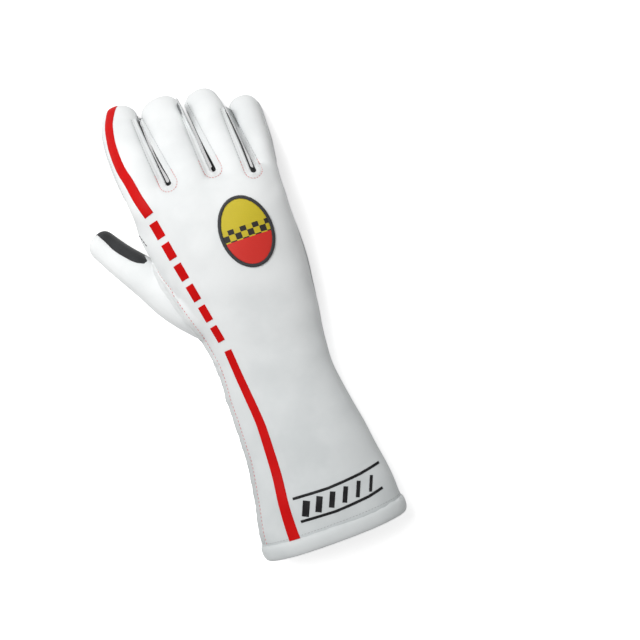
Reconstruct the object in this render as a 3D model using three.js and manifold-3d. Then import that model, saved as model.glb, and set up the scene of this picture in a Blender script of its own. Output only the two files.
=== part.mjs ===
// Racing glove for the right hand: long cuff, stitched fabric panels, gripped suede palm.
// Millimetres. +Y runs to the fingertips, -X is the thumb side, +Z is up off the back of the hand.
// Plan places are measured from the middle of the cuff's hem seam.
import * as THREE from 'three';
import { mergeVertices } from 'three/addons/utils/BufferGeometryUtils.js';
import Module from 'manifold-3d';

const wasm = await Module();
wasm.setup();

// Driving sizes
const WALL = 1.6;
const GAP = 0.3;
const LEDGE = 0.7;
const LAY = 0.45;
const GRIP = 0.8;
const PRINT = 0.5;
const PATCH = 1.0;
const LIP = 1.6;
const REST_LIFT = LAY + GRIP;
const HEM_WIDTH = 10.5;
const HEM_BULGE = 2.7;
const HEM_INSIDE = 3.4;
const MOUTH_Y = 6;
const FRONT = { y: 247, length: 14 };
const TIP = { reach: 0.46, square: 0.7 };
const DROP = { far: 15, near: 46, until: 0.75 };
const SKIN_FACETS = { hand: 20, digit: 10 };
const HOLLOW_FACETS = { hand: 12, digit: 8 };
const WELT_RISE = 3.0;
const WELT_HALF = 3.4;
const SEAM_RISE = 1.5;
const SEAM_HALF = 2.1;
const FAR = 140;
const HIGH = 110;
const LOW = -20;

// Hand and cuff, a row for each section: side edges in x, lowest and highest z,
// and slant (y moved for each mm of x).
const handSections = [
  { y: MOUTH_Y, left: -49.8, right: 53.4, bottom: 2.1, top: 47.8, slant: 0 },
  { y: 18, left: -48.6, right: 53.2, bottom: 2.3, top: 47.3, slant: 0 },
  { y: 30, left: -46.3, right: 51.8, bottom: 2.5, top: 46.5, slant: 0 },
  { y: 52, left: -41.8, right: 48.8, bottom: 2.7, top: 44.0, slant: 0 },
  { y: 75, left: -39.2, right: 45.2, bottom: 2.9, top: 42.3, slant: 0 },
  { y: 100, left: -38.6, right: 41.4, bottom: 3.1, top: 41.3, slant: 0 },
  { y: 128, left: -37.9, right: 40.8, bottom: 3.6, top: 42.0, slant: 0 },
  { y: 148, left: -39.0, right: 43.4, bottom: 3.3, top: 45.0, slant: 0 },
  { y: 168, left: -42.6, right: 46.4, bottom: 1.9, top: 49.5, slant: 0 },
  { y: 190, left: -47.6, right: 48.3, bottom: 3.5, top: 54.5, slant: 0 },
  { y: 212, left: -52.4, right: 49.2, bottom: 9.0, top: 58.5, slant: -0.03 },
  { y: 230, left: -54.2, right: 49.9, bottom: 16.0, top: 60.0, slant: -0.09 },
  { y: 247, left: -53.8, right: 50.4, bottom: 22.0, top: 59.0, slant: -0.14 },
  { y: 256, left: -51.8, right: 49.4, bottom: 27.0, top: 55.5, slant: -0.16 },
  { y: 261, left: -47.0, right: 45.4, bottom: 34.0, top: 49.0, slant: -0.17 },
];

// Digits, a row for each section: middle of the section, its width and its thickness.
const digitSections = {
  index: [
    { x: -36.0, y: 226, z: 37.0, width: 26.0, thick: 24.0 },
    { x: -38.4, y: 248, z: 44.0, width: 29.6, thick: 25.5 },
    { x: -40.0, y: 268, z: 40.5, width: 30.8, thick: 24.5 },
    { x: -42.2, y: 290, z: 32.0, width: 29.4, thick: 23.0 },
    { x: -43.4, y: 309, z: 21.6, width: 28.0, thick: 21.5 },
    { x: -43.4, y: 321.5, z: 12.8, width: 26.2, thick: 20.0 },
  ],
  middle: [
    { x: -6.0, y: 228, z: 40.0, width: 27.0, thick: 25.0 },
    { x: -6.8, y: 250, z: 46.0, width: 28.4, thick: 26.0 },
    { x: -8.5, y: 270, z: 40.5, width: 28.6, thick: 24.5 },
    { x: -10.8, y: 290, z: 31.0, width: 29.2, thick: 23.0 },
    { x: -12.5, y: 305, z: 21.6, width: 29.4, thick: 21.8 },
    { x: -13.7, y: 317, z: 13.0, width: 29.0, thick: 20.5 },
  ],
  ring: [
    { x: 21.5, y: 226, z: 37.5, width: 26.0, thick: 24.0 },
    { x: 21.4, y: 247, z: 43.0, width: 25.0, thick: 24.5 },
    { x: 20.3, y: 267, z: 38.0, width: 24.2, thick: 23.0 },
    { x: 18.6, y: 287, z: 29.0, width: 24.4, thick: 22.0 },
    { x: 17, y: 303, z: 19.4, width: 25, thick: 21.0 },
    { x: 15.5, y: 313.5, z: 12.6, width: 24.6, thick: 19.8 },
  ],
  little: [
    { x: 39.0, y: 216, z: 30.0, width: 20.0, thick: 21.0 },
    { x: 41.4, y: 238, z: 35.0, width: 19.2, thick: 22.0 },
    { x: 43.5, y: 258, z: 31.0, width: 17.9, thick: 20.5 },
    { x: 43.6, y: 276, z: 24.0, width: 19.7, thick: 19.5 },
    { x: 43.3, y: 290, z: 16.4, width: 21.0, thick: 18.5 },
    { x: 42.7, y: 300, z: 11.0, width: 21.0, thick: 17.5 },
  ],
  thumb: [
    { x: -29.0, y: 158, z: 22.0, width: 21.0, thick: 28.0 },
    { x: -38.0, y: 174, z: 23.0, width: 28.0, thick: 34.0 },
    { x: -50.0, y: 191, z: 22.0, width: 30.0, thick: 32.0 },
    { x: -62.0, y: 209, z: 19.2, width: 27.5, thick: 28.0 },
    { x: -74.0, y: 226, z: 15.4, width: 24.5, thick: 24.0 },
    { x: -84.5, y: 242, z: 11.8, width: 22.0, thick: 20.5 },
  ],
};

// Finger slits, from the crotch to just short of the tips, with half the width of the white strip.
const slits = {
  index_middle: { x: -21.9, y: 261.3, farX: -30.4, farY: 319, half: 5.6, farHalf: 3.0 },
  middle_ring: { x: 9.0, y: 260.6, farX: 2.6, farY: 318, half: 5.6, farHalf: 3.0 },
  ring_little: { x: 34.4, y: 250.4, farX: 31.2, farY: 305, half: 5.2, farHalf: 2.8 },
};

// Reads one column of a section table at y, on a smooth curve through its rows.
function column(table, name, at, key = 'y') {
  const last = table.length - 1;
  if (at <= table[0][key]) return table[0][name];
  if (at >= table[last][key]) return table[last][name];
  let row = 0;
  while (table[row + 1][key] < at) row += 1;
  const slope = (i) => {
    const a = table[Math.max(i - 1, 0)];
    const b = table[Math.min(i + 1, last)];
    return (b[name] - a[name]) / (b[key] - a[key]);
  };
  const span = table[row + 1][key] - table[row][key];
  const t = (at - table[row][key]) / span;
  const start = table[row][name];
  const end = table[row + 1][name];
  const rise = end - start;
  const outgoing = slope(row) * span;
  const incoming = slope(row + 1) * span;
  return start + t * (outgoing + t * (3 * rise - 2 * outgoing - incoming + t * (outgoing + incoming - 2 * rise)));
}

function toManifold(geometry) {
  geometry.deleteAttribute('normal');
  geometry.deleteAttribute('uv');
  const merged = mergeVertices(geometry, 1e-4);
  return new wasm.Manifold(new wasm.Mesh({
    numProp: 3,
    vertProperties: new Float32Array(merged.attributes.position.array),
    triVerts: new Uint32Array(merged.index.array),
  }));
}

// Joins rings of points into one closed skin. An open loft gets a flat fan at each end,
// and a looped one joins its last ring to its first.
function loft(rings, looped = false) {
  const count = rings[0].length;
  const points = rings.flat();
  const faces = [];
  const lanes = looped ? rings.length : rings.length - 1;
  for (let i = 0; i < lanes; i += 1) {
    const here = i * count;
    const next = ((i + 1) % rings.length) * count;
    for (let j = 0; j < count; j += 1) {
      const k = (j + 1) % count;
      faces.push([here + j, here + k, next + k], [here + j, next + k, next + j]);
    }
  }
  if (!looped) {
    for (const [ring, turn] of [[0, true], [rings.length - 1, false]]) {
      const middle = rings[ring].reduce((sum, p) => sum.add(p), new THREE.Vector3()).divideScalar(count);
      points.push(middle);
      for (let j = 0; j < count; j += 1) {
        const a = ring * count + j;
        const b = ring * count + ((j + 1) % count);
        faces.push(turn ? [b, a, points.length - 1] : [a, b, points.length - 1]);
      }
    }
  }
  const volume = faces.reduce((sum, [a, b, c]) => (
    sum + points[a].dot(new THREE.Vector3().crossVectors(points[b], points[c]))), 0);
  const geometry = new THREE.BufferGeometry().setFromPoints(points);
  geometry.setIndex((volume < 0 ? faces.map(([a, b, c]) => [a, c, b]) : faces).flat());
  return toManifold(geometry);
}

// One point of a rounded section at an angle, with its lower half a little squarer than its upper.
function rounded(angle, halfWidth, halfUp, halfDown) {
  const power = Math.sin(angle) >= 0 ? 2 / 2.25 : 2 / 2.7;
  const across = Math.sign(Math.cos(angle)) * Math.abs(Math.cos(angle)) ** power;
  const up = Math.sign(Math.sin(angle)) * Math.abs(Math.sin(angle)) ** power;
  return { across: across * halfWidth, up: up * (up > 0 ? halfUp : halfDown) };
}

// Soft folds under the cuff below the elastic, a row for each: its ends, width and depth.
const folds = [
  { x0: 4, y0: 106, x1: -27, y1: 122, width: 7, depth: 2.6 },
  { x0: -8, y0: 92, x1: -30, y1: 110, width: 6, depth: 2.2 },
];

function foldDepth(x, y) {
  return folds.reduce((sum, { x0, y0, x1, y1, width, depth }) => {
    const length2 = (x1 - x0) ** 2 + (y1 - y0) ** 2;
    const t = THREE.MathUtils.clamp(((x - x0) * (x1 - x0) + (y - y0) * (y1 - y0)) / length2, 0, 1);
    const away = Math.hypot(x - x0 - t * (x1 - x0), y - y0 - t * (y1 - y0));
    return sum + depth * Math.exp(-((away / width) ** 2));
  }, 0);
}

// A point on the hand and cuff's skin, moved out by grow. It lies flat where it meets the floor.
function handPoint(y, angle, grow, floor = REST_LIFT - grow) {
  const left = column(handSections, 'left', y);
  const right = column(handSections, 'right', y);
  const bottom = column(handSections, 'bottom', y);
  const top = column(handSections, 'top', y);
  const side = bottom + (top - bottom) * 0.47;
  const { across, up } = rounded(angle, (right - left) / 2 + grow, top - side + grow, side - bottom + grow);
  const x = (left + right) / 2 + across;
  const dent = up < 0 ? foldDepth(x, y) * -Math.sin(angle) : 0;
  const z = Math.max(side + up + dent, floor);
  return new THREE.Vector3(x, y + column(handSections, 'slant', y) * x, z);
}

// Section places along the hand: close together where the shape turns quickly.
const handStations = [
  MOUTH_Y, 24, 46, 68, 92, 104, 116, 130, 150, 172, 194, 214, 232, 248, 256, 261,
];

function handSolid(grow, mouth, facets) {
  const angles = Array.from({ length: facets }, (_, i) => (i * 2 * Math.PI) / facets);
  const rings = handStations.map((y) => angles.map((angle) => {
    const point = handPoint(y, angle, grow);
    const front = Math.max(0, (y - FRONT.y) / FRONT.length);
    point.y += grow * front;
    return point;
  }));
  const opening = rings[0].map((point) => point.clone().add(new THREE.Vector3(0, -mouth, 0)));
  return loft(mouth > 0 ? [opening, ...rings] : rings);
}

// The frame of a digit at a share of its length: middle, side and up directions, width, thickness.
const digitCurves = Object.fromEntries(Object.entries(digitSections).map(([name, table]) => [
  name, new THREE.CatmullRomCurve3(table.map((row) => new THREE.Vector3(row.x, row.y, row.z))),
]));

function digitFrame(name, share) {
  const table = digitSections[name];
  const curve = digitCurves[name];
  const middle = curve.getPoint(share);
  const along = curve.getTangent(share);
  const side = new THREE.Vector3().crossVectors(along, new THREE.Vector3(0, 0, 1)).normalize();
  const up = new THREE.Vector3().crossVectors(side, along);
  const row = share * (table.length - 1);
  const numbered = table.map((section, i) => ({ ...section, i }));
  return {
    middle, along, side, up,
    width: column(numbered, 'width', row, 'i'),
    thick: column(numbered, 'thick', row, 'i'),
  };
}

const digitShares = [0, 0.35, 0.6, 0.8, 1];
const tipTurns = [32, 62].map(THREE.MathUtils.degToRad);

function digitRing({ middle, side, up, width, thick }, grow, facets, shrink = 1) {
  return Array.from({ length: facets }, (_, i) => {
    const half = thick / 2 + grow;
    const turn = (i * 2 * Math.PI) / facets;
    const { across, up: rise } = rounded(turn, (width / 2 + grow) * shrink, half * shrink, half * shrink);
    const point = middle.clone().addScaledVector(side, across).addScaledVector(up, rise);
    point.z = Math.max(point.z, REST_LIFT - grow);
    return point;
  });
}

function digitSolid(name, grow, facets) {
  const rings = digitShares.map((share) => digitRing(digitFrame(name, share), grow, facets));
  const end = digitFrame(name, 1);
  const reach = end.width * TIP.reach + grow;
  for (const turn of tipTurns) {
    const middle = end.middle.clone().addScaledVector(end.along, reach * Math.sin(turn));
    rings.push(digitRing({ ...end, middle }, grow, facets, Math.cos(turn) ** TIP.square));
  }
  return loft(rings);
}

// The whole glove as one body, moved out by grow, and its hollow when grow is minus the wall.
const gloves = new Map();
function glove(grow, mouth = 0) {
  const key = `${grow} ${mouth}`;
  if (!gloves.has(key)) {
    const facets = grow < 0 ? HOLLOW_FACETS : SKIN_FACETS;
    const digits = Object.keys(digitSections).map((name) => digitSolid(name, grow, facets.digit));
    gloves.set(key, digits.reduce((sum, digit) => sum.add(digit), handSolid(grow, mouth, facets.hand)));
  }
  return gloves.get(key);
}

// The side seams' height over the plan: a sheet through the fingers' middles and the hand's sides.
// On its thumb side it lies high as far as the knuckles, where the side seam turns under the index finger.
const sheetShares = [
  [-40, 0.66], [MOUTH_Y, 0.66], [45, 0.66], [96, 0.66], [148, 0.66], [190, 0.66], [212, 0.58], [228, 0.38],
];
const sheetRows = [
  ...sheetShares.map(([y, thumbSide]) => {
    const bottom = column(handSections, 'bottom', y);
    const top = column(handSections, 'top', y);
    const z = (share) => bottom + (top - bottom) * share;
    return [[-FAR, z(thumbSide)], [-38, z(thumbSide)], [-8, z(0.55)], [20, z(0.5)], [40, z(0.42)], [FAR, z(0.42)]]
      .map(([x, height]) => new THREE.Vector3(x, y, height));
  }),
  ...[0.25, 0.5, 0.75, 1, 1.3].map((share) => {
    const middles = ['index', 'middle', 'ring', 'little'].map((name) => {
      const end = digitFrame(name, Math.min(share, 1));
      return end.middle.addScaledVector(end.along, Math.max(share - 1, 0) * 100);
    });
    const fall = DROP.far + DROP.near * Math.max(0, DROP.until - share);
    const beside = (point, x) => new THREE.Vector3(x, point.y, point.z - fall);
    return [beside(middles[0], -FAR), ...middles, beside(middles[3], FAR)];
  }),
];

// Everything above the sheet, or below it, up to half the gap from it.
function beyondSheet(sign) {
  const limit = sign > 0 ? HIGH : LOW;
  return loft(sheetRows.map((row) => [
    ...row.map((p) => new THREE.Vector3(p.x, p.y, p.z + (sign * GAP) / 2)),
    ...row.map((p) => new THREE.Vector3(p.x, p.y, limit)).reverse(),
  ]));
}

function sheetHeight(x, y) {
  const lanes = sheetRows[0].map((_, lane) => {
    const line = sheetRows.map((row) => row[lane]);
    const after = line.findIndex((point) => point.y > y);
    const b = line[after < 1 ? line.length - 1 : after];
    const a = line[after < 1 ? line.length - 2 : after - 1];
    return new THREE.Vector3().lerpVectors(a, b, (y - a.y) / (b.y - a.y));
  });
  const right = Math.max(1, lanes.findIndex((point) => point.x > x));
  const [a, b] = [lanes[right - 1], lanes[right]];
  return THREE.MathUtils.lerp(a.z, b.z, (x - a.x) / (b.x - a.x));
}

// Moves a closed outline of [x, y] points outwards by an amount.
function grown(outline, amount) {
  const area = outline.reduce((sum, [x, y], i) => {
    const [nx, ny] = outline[(i + 1) % outline.length];
    return sum + x * ny - nx * y;
  }, 0);
  return outline.map(([x, y], i) => {
    const [px, py] = outline.at(i - 1);
    const [nx, ny] = outline[(i + 1) % outline.length];
    const before = new THREE.Vector2(y - py, px - x).normalize();
    const after = new THREE.Vector2(ny - y, x - nx).normalize();
    const normal = before.add(after);
    normal.multiplyScalar((2 * Math.sign(area) * amount) / Math.max(normal.lengthSq(), 0.5));
    return [x + normal.x, y + normal.y];
  });
}

const raised = (outline, height) => outline.map(([x, y], i) => new THREE.Vector3(x, y, height(i)));

// An upright block over a plan outline.
function block(outline) {
  return loft([raised(outline, () => LOW), raised(outline, () => HIGH)]);
}

// A block with one outline under its step and another above it. Each point has its own step height.
function steppedBlock(lower, upper, step, shift = 0) {
  return loft([
    raised(lower, () => LOW),
    raised(lower, (i) => step(i) + shift),
    raised(upper, (i) => step(i) + shift + GAP),
    raised(upper, () => HIGH),
  ]);
}

// The room that a stepped block needs in its neighbours, with its ledge moved up or down.
function steppedRoom(lower, upper, step, shift) {
  return steppedBlock(grown(lower, GAP), grown(upper, GAP), step, shift);
}

// A closed band of even width about a line of [x, y] points.
function ribbon(line, width, farWidth = width) {
  const side = (sign) => line.map(([x, y], i) => {
    const [ax, ay] = line[Math.max(i - 1, 0)];
    const [bx, by] = line[Math.min(i + 1, line.length - 1)];
    const normal = new THREE.Vector2(ay - by, bx - ax).normalize();
    const half = (width + ((farWidth - width) * i) / (line.length - 1)) / 2;
    return [x + sign * half * normal.x, y + sign * half * normal.y];
  });
  return [...side(1), ...side(-1).reverse()];
}

function oval(x, y, halfWidth, halfHeight, count) {
  return Array.from({ length: count }, (_, i) => {
    const turn = (i * 2 * Math.PI) / count;
    return [x + halfWidth * Math.cos(turn), y + halfHeight * Math.sin(turn)];
  });
}

// The U-shaped strip round a finger slit.
function slitOutline({ x, y, farX, farY, half, farHalf }, share = 1) {
  const arc = [180, 225, 270, 315, 360].map(THREE.MathUtils.degToRad);
  return [
    [farX - farHalf * share, farY],
    ...arc.map((turn) => [x + half * share * Math.cos(turn), y + half * share * Math.sin(turn)]),
    [farX + farHalf * share, farY],
  ];
}

const WHITE = 0xf1f3f3;
const BLACK = 0x17181a;
const GLOSS = 0x0b0b0c;
const RED = 0xd01216;
const YELLOW = 0xd8c21c;
const CLOTH = 0.85;
const SILICONE = 0.25;

const pieces = [];
function piece(name, solid, colour, roughness = CLOTH) {
  pieces.push({ name, solid, colour, roughness });
}

const above = beyondSheet(1);
const below = beyondSheet(-1);
const shell = glove(0).subtract(glove(-WALL, 60));

// The wrist: a padded welt ends the palm, and dips towards the thumb. Elastic lies between it and the cuff.
const WELT_Y = 149;
const WELT_DIP = 8;
const ELASTIC_Y = 128;
const weltY = (x) => WELT_Y - WELT_DIP * THREE.MathUtils.smoothstep(-x, 8, 34);

// The thumb's seams. On top it leaves the hand along the side seam, and under the hand it leaves the
// palm along an arc. Both lines run from the crotch to the wrist with as many points.
const sideSeam = [
  [-54.4, 221], [-52.3, 205], [-48.6, 191], [-44.9, 177], [-41.0, 163], [-38.0, 150], [-37.0, 143.4],
];
const palmArc = [
  [-46, 218], [-32, 221.5], [-17, 219], [-8, 209], [-5.2, 197], [-9, 188], [-16.5, 178.5], [-21.5, 171],
  [-18.4, 163], [-13, 150.5], [-22, 147.6], [-32, 142.2],
];
const arcOnTop = palmArc.map((_, i) => {
  const place = (i / (palmArc.length - 1)) * (sideSeam.length - 1);
  const row = Math.min(Math.floor(place), sideSeam.length - 2);
  return [0, 1].map((axis) => THREE.MathUtils.lerp(sideSeam[row][axis], sideSeam[row + 1][axis], place - row));
});
const beyondThumb = [[-FAR, 142.2], [-FAR, 270], [-66, 270], [-60.5, 232]];
const thumbLower = [...palmArc, ...beyondThumb];
const thumbUpper = [...arcOnTop, ...beyondThumb];
const thumbStep = (i) => sheetHeight(...thumbUpper[Math.min(i, palmArc.length - 1)]) + GAP;
const thumbShell = shell.intersect(steppedBlock(thumbLower, thumbUpper, thumbStep));
const thumbRoom = steppedRoom(thumbLower, thumbUpper, thumbStep, LEDGE);

// The thumb's black inner face: a slim strip on top, and most of the thumb on the palm side.
const innerUnder = [
  [-100, 262], [-92, 243], [-78, 229], [-69, 212], [-60, 201], [-43, 187], [-25, 174.5], [-21.5, 171],
];
const innerOnTop = [
  [-97, 266], [-88, 255], [-82, 245.5], [-77, 236], [-70, 227.5], [-65, 222.5], [-59.5, 219.5], [-57, 221],
];
const arcBack = palmArc.slice(0, 7).reverse();
const arcBackOnTop = arcBack.map((_, i) => [-56.6 + i * 0.3, 222 + i * 0.5]);
const innerLower = [...innerUnder, ...arcBack, ...beyondThumb.slice(2).reverse()];
const innerUpper = [...innerOnTop, ...arcBackOnTop, ...beyondThumb.slice(2).reverse()];
const innerStep = () => 14;
const thumbFront = steppedBlock(innerLower, innerUpper, innerStep);
const thumbFrontRoom = steppedRoom(innerLower, innerUpper, innerStep, LEDGE);

let body = shell.subtract(thumbRoom);

// Strips between the fingers: wide on the back of the hand and slim on the palm side.
for (const [name, slit] of Object.entries(slits)) {
  const wide = slitOutline(slit);
  const slim = slitOutline(slit, 0.7);
  const step = (i) => sheetHeight(...wide[i]) - 1;
  piece(`fourchette_${name}`, body.intersect(steppedBlock(slim, wide, step)), WHITE);
  body = body.subtract(steppedRoom(slim, wide, step, -LEDGE));
}

// The panels that are left: one over the back of hand and cuff, and two under them.
const under = body.intersect(below);
const weltXs = [-FAR, -40, -30, -22, -14, -6, 10, FAR];
const beyondWelt = (side, far) => block([
  ...weltXs.map((x) => [x, weltY(x) + side * (WELT_HALF - 2)]), [FAR, far], [-FAR, far]]);
piece('back_panel', body.intersect(above), WHITE);
piece('palm_panel', under.intersect(beyondWelt(1, FAR * 3)), BLACK);
piece('cuff_palm', under.intersect(block([
  [-FAR, -60], [FAR, -60], [FAR, ELASTIC_Y - GAP], [-FAR, ELASTIC_Y - GAP]])), WHITE);
piece('thumb_back', thumbShell.subtract(thumbFrontRoom), WHITE);
piece('thumb_front', thumbShell.intersect(thumbFront), BLACK);

// The angle on the hand's skin, on its thumb side or its far side, where the side seam runs.
function seamAngle(y, sideSign, height) {
  let low = sideSign < 0 ? Math.PI / 2 : -Math.PI / 2;
  let high = sideSign < 0 ? (Math.PI * 3) / 2 : Math.PI / 2;
  for (let step = 0; step < 24; step += 1) {
    const middle = (low + high) / 2;
    const over = handPoint(y, middle, 0).z > height(handPoint(y, middle, 0).x, y);
    if (over === (sideSign < 0)) low = middle;
    else high = middle;
  }
  return (low + high) / 2;
}

// A strip round the underside of the wrist, from one side seam to the other.
function wristStrip(count, short, section) {
  return loft(Array.from({ length: count }, (_, i) => {
    const share = i / (count - 1);
    const start = seamAngle(WELT_Y - 10, -1, sheetHeight) + short;
    const end = seamAngle(WELT_Y - 10, 1, sheetHeight) + 2 * Math.PI - short;
    const angle = start + (end - start) * share;
    const edge = weltY(handPoint(WELT_Y, angle, 0).x);
    return section(edge, share, i).map(([y, grow]) => handPoint(y, angle, grow, 0));
  }));
}

const PLEATS = 21;
const PLEAT_DEPTH = 0.7;
piece('wrist_elastic', wristStrip(PLEATS * 2 + 1, 0.03, (edge, share, i) => {
  const outer = i % 2 ? -PLEAT_DEPTH : -2 * PLEAT_DEPTH;
  const top = edge - WELT_HALF + 1.6;
  const inner = outer - WALL;
  return [[ELASTIC_Y, outer], [top, outer], [top, inner], [ELASTIC_Y, inner]];
}), WHITE);
piece('wrist_welt', wristStrip(15, 0.16, (edge) => {
  const profile = [[-1, -0.4], [-0.85, 0.7], [0, 1.1], [0.85, 0.7], [1, -0.4]];
  return profile.map(([across, out]) => [edge + across * WELT_HALF, out * WELT_RISE]);
}).subtract(glove(GAP)), WHITE);

// The hem: a padded roll round the cuff's mouth.
const HEM_SIDES = 28;
const hemProfile = [[0, 0.3], [0.12, 1], [0.86, 1], [1, 0], [0.86, -1], [0, -1]];
piece('hem', loft(Array.from({ length: HEM_SIDES }, (_, i) => {
  const angle = (i * 2 * Math.PI) / HEM_SIDES;
  return hemProfile.map(([down, out]) => {
    const grow = out > 0 ? out * HEM_BULGE : out * HEM_INSIDE;
    const point = handPoint(MOUTH_Y, angle, grow, 0);
    point.y -= GAP + down * HEM_WIDTH;
    return point;
  });
}), true), WHITE);

// A raised strip of the glove's surface, as thick as is asked, inside a cutting solid.
function skinOf(cutter, thickness) {
  return glove(LAY + thickness).subtract(glove(LAY)).intersect(cutter);
}

// A flat piece laid on the glove over a plan outline, on the back or on the palm side.
function overlay(outline, thickness, side = above) {
  return skinOf(outline.getMesh ? outline : block(outline), thickness).intersect(side);
}

// The corners of an outside seam's section: how far across it, and how deep or high over the skin.
const seamCorners = [[-1, -5], [-1, 5], [1, 5], [1, -5]];

// The outside seam along a side of the hand and cuff, between two places in y.
function sideRidge(fromY, toY, count, sideSign) {
  return loft(Array.from({ length: count }, (_, i) => {
    const y = THREE.MathUtils.lerp(fromY, toY, i / (count - 1));
    const angle = seamAngle(y, sideSign, sheetHeight);
    const radius = (column(handSections, 'top', y) - column(handSections, 'bottom', y)) / 2;
    const turn = SEAM_HALF / radius;
    return seamCorners.map(([across, grow]) => handPoint(y, angle + across * turn, grow));
  }));
}

// The outside seam along a finger's free side, to the middle of its tip.
function fingerRidge(name, sideSign, from) {
  const shares = Array.from({ length: 4 }, (_, i) => from + ((1 - from) * i) / 3);
  const end = digitFrame(name, 1);
  const rings = shares.map((share) => ({ frame: digitFrame(name, share), tip: 0 }));
  const tips = [30, 62].map((degrees) => ({ frame: end, tip: THREE.MathUtils.degToRad(degrees) }));
  return loft([...rings, ...tips].map(({ frame, tip }) => seamCorners.map(([lift, grow]) => (
    frame.middle.clone()
      .addScaledVector(frame.side, sideSign * (frame.width / 2 + grow) * Math.cos(tip) ** TIP.square)
      .addScaledVector(frame.along, (frame.width * TIP.reach + grow) * Math.sin(tip))
      .addScaledVector(frame.up, lift * SEAM_HALF * 0.8)))));
}
piece('side_seam', skinOf(sideRidge(216, MOUTH_Y + 2, 10, -1), SEAM_RISE), WHITE);
piece('outer_seam', skinOf(sideRidge(214, 158, 4, 1), SEAM_RISE), WHITE);
piece('index_seam', skinOf(fingerRidge('index', -1, 0.36), SEAM_RISE), WHITE);
piece('little_seam', skinOf(fingerRidge('little', 1, 0.36), SEAM_RISE), WHITE);

for (const [name, slit] of Object.entries(slits)) {
  const inside = slitOutline({ ...slit, farY: slit.farY + 20 }, 0.62);
  piece(`seam_lip_${name}`, overlay(block(slitOutline(slit)).subtract(block(inside)), LIP), WHITE);
}

// The red stripe: down the index finger, a broken run over the hand, and down the cuff.
const indexStripe = [
  [-43.9, 334.5], [-47.8, 326], [-50.4, 317.2], [-51.4, 306], [-51.3, 297.6], [-50.0, 283.4], [-47.0, 271.2],
  [-44.5, 258.5], [-41.0, 245.1],
];
const cuffStripe = [
  [-24.2, 143], [-23.0, 121], [-20.8, 94], [-20.6, 80], [-21.8, 52], [-24.0, 32], [-24.8, 16], [-24.8, 7],
];
piece('index_stripe', overlay(ribbon(indexStripe, 5.9, 7.1), PRINT), RED);
piece('cuff_stripe', overlay(ribbon(cuffStripe, 5.2, 7.8), PRINT), RED);
const BARS = 6;
const barRun = new THREE.Line3(new THREE.Vector3(-40.6, 241.5, 0), new THREE.Vector3(-25.4, 147.5, 0));
for (let bar = 0; bar < BARS; bar += 1) {
  const ends = [0.1, 0.82].map((share) => barRun.at((bar + share) / BARS, new THREE.Vector3()));
  const width = THREE.MathUtils.lerp(6.4, 5.2, bar / (BARS - 1));
  piece(`stripe_bar_${bar + 1}`, overlay(ribbon(ends.map((p) => [p.x, p.y]), width), PRINT), RED);
}

// The embroidered patch on the back of the hand: an oval with a raised border.
const patch = { x: 16.2, y: 213, halfWidth: 18.2, halfHeight: 24.6, border: 2.6 };
const patchOval = (inset) => (
  oval(patch.x, patch.y, patch.halfWidth - inset, patch.halfHeight - inset, 14));
piece('back_patch', overlay(patchOval(patch.border + GAP), PATCH * 0.6), YELLOW);
piece('patch_border', overlay(block(patchOval(0)).subtract(block(patchOval(patch.border))), PATCH), BLACK);

// Two black lines above the hem with a run of slanted bars between them.
const LINE = 1.8;
const lineAt = (y, end) => [[-16.8, y], [8, y - 0.9], [32, y], [end, y + 1.6]];
piece('cuff_line_upper', overlay(ribbon(lineAt(33.4, 46.5), LINE), PRINT), BLACK);
piece('cuff_line_lower', overlay(ribbon(lineAt(17.2, 43), LINE), PRINT), BLACK);
const CUFF_BARS = 6;
for (let bar = 0; bar < CUFF_BARS; bar += 1) {
  const x = -10.5 + bar * 9.4;
  const half = THREE.MathUtils.lerp(2.4, 1, bar / (CUFF_BARS - 1));
  piece(`cuff_bar_${bar + 1}`, overlay(ribbon([[x - 2.2, 19.6], [x + 2.2, 29.4]], half * 2), PRINT), BLACK);
}

// Glossy grips on the finger fronts: a pad at each tip and one with a prong at each knuckle.
const fingerGrips = [
  { name: 'index', tip: [-43.2, 306, 327], knuckle: [-39.5, 252, 277], width: 17, prong: -1 },
  { name: 'middle', tip: [-13.2, 302, 323], knuckle: [-7.3, 250, 278], width: 16, prong: -1 },
  { name: 'ring', tip: [16, 299, 319], knuckle: [21, 249.2, 275], width: 14.6, prong: -1 },
  { name: 'little', tip: [43, 287, 305], knuckle: [43.2, 245, 268], width: 12.6, prong: 1 },
];
for (const { name, tip, knuckle, width, prong } of fingerGrips) {
  const pad = ([x, from, to]) => oval(x, (from + to) / 2, width / 2, (to - from) / 2, 8)
    .map(([px, py]) => [x + Math.sign(px - x) * Math.min(Math.abs(px - x) * 1.2, width / 2), py]);
  piece(`tip_pad_${name}`, overlay(pad(tip), GRIP, below), GLOSS, SILICONE);
  const [x, from, to] = knuckle;
  const half = width / 2;
  piece(`knuckle_pad_${name}`, overlay([
    [x - half, from], [x + half, from], [x + half, to - 10], [x + prong * half, to - 8],
    [x + prong * half, to], [x + prong * (half - 5), to], [x + prong * (half - 5), to - 8],
    [x - half, to - 10],
  ].filter(([px, py], i, all) => i === 0 || Math.hypot(px - all[i - 1][0], py - all[i - 1][1]) > 0.5),
  GRIP, below), GLOSS, SILICONE);
}

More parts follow.
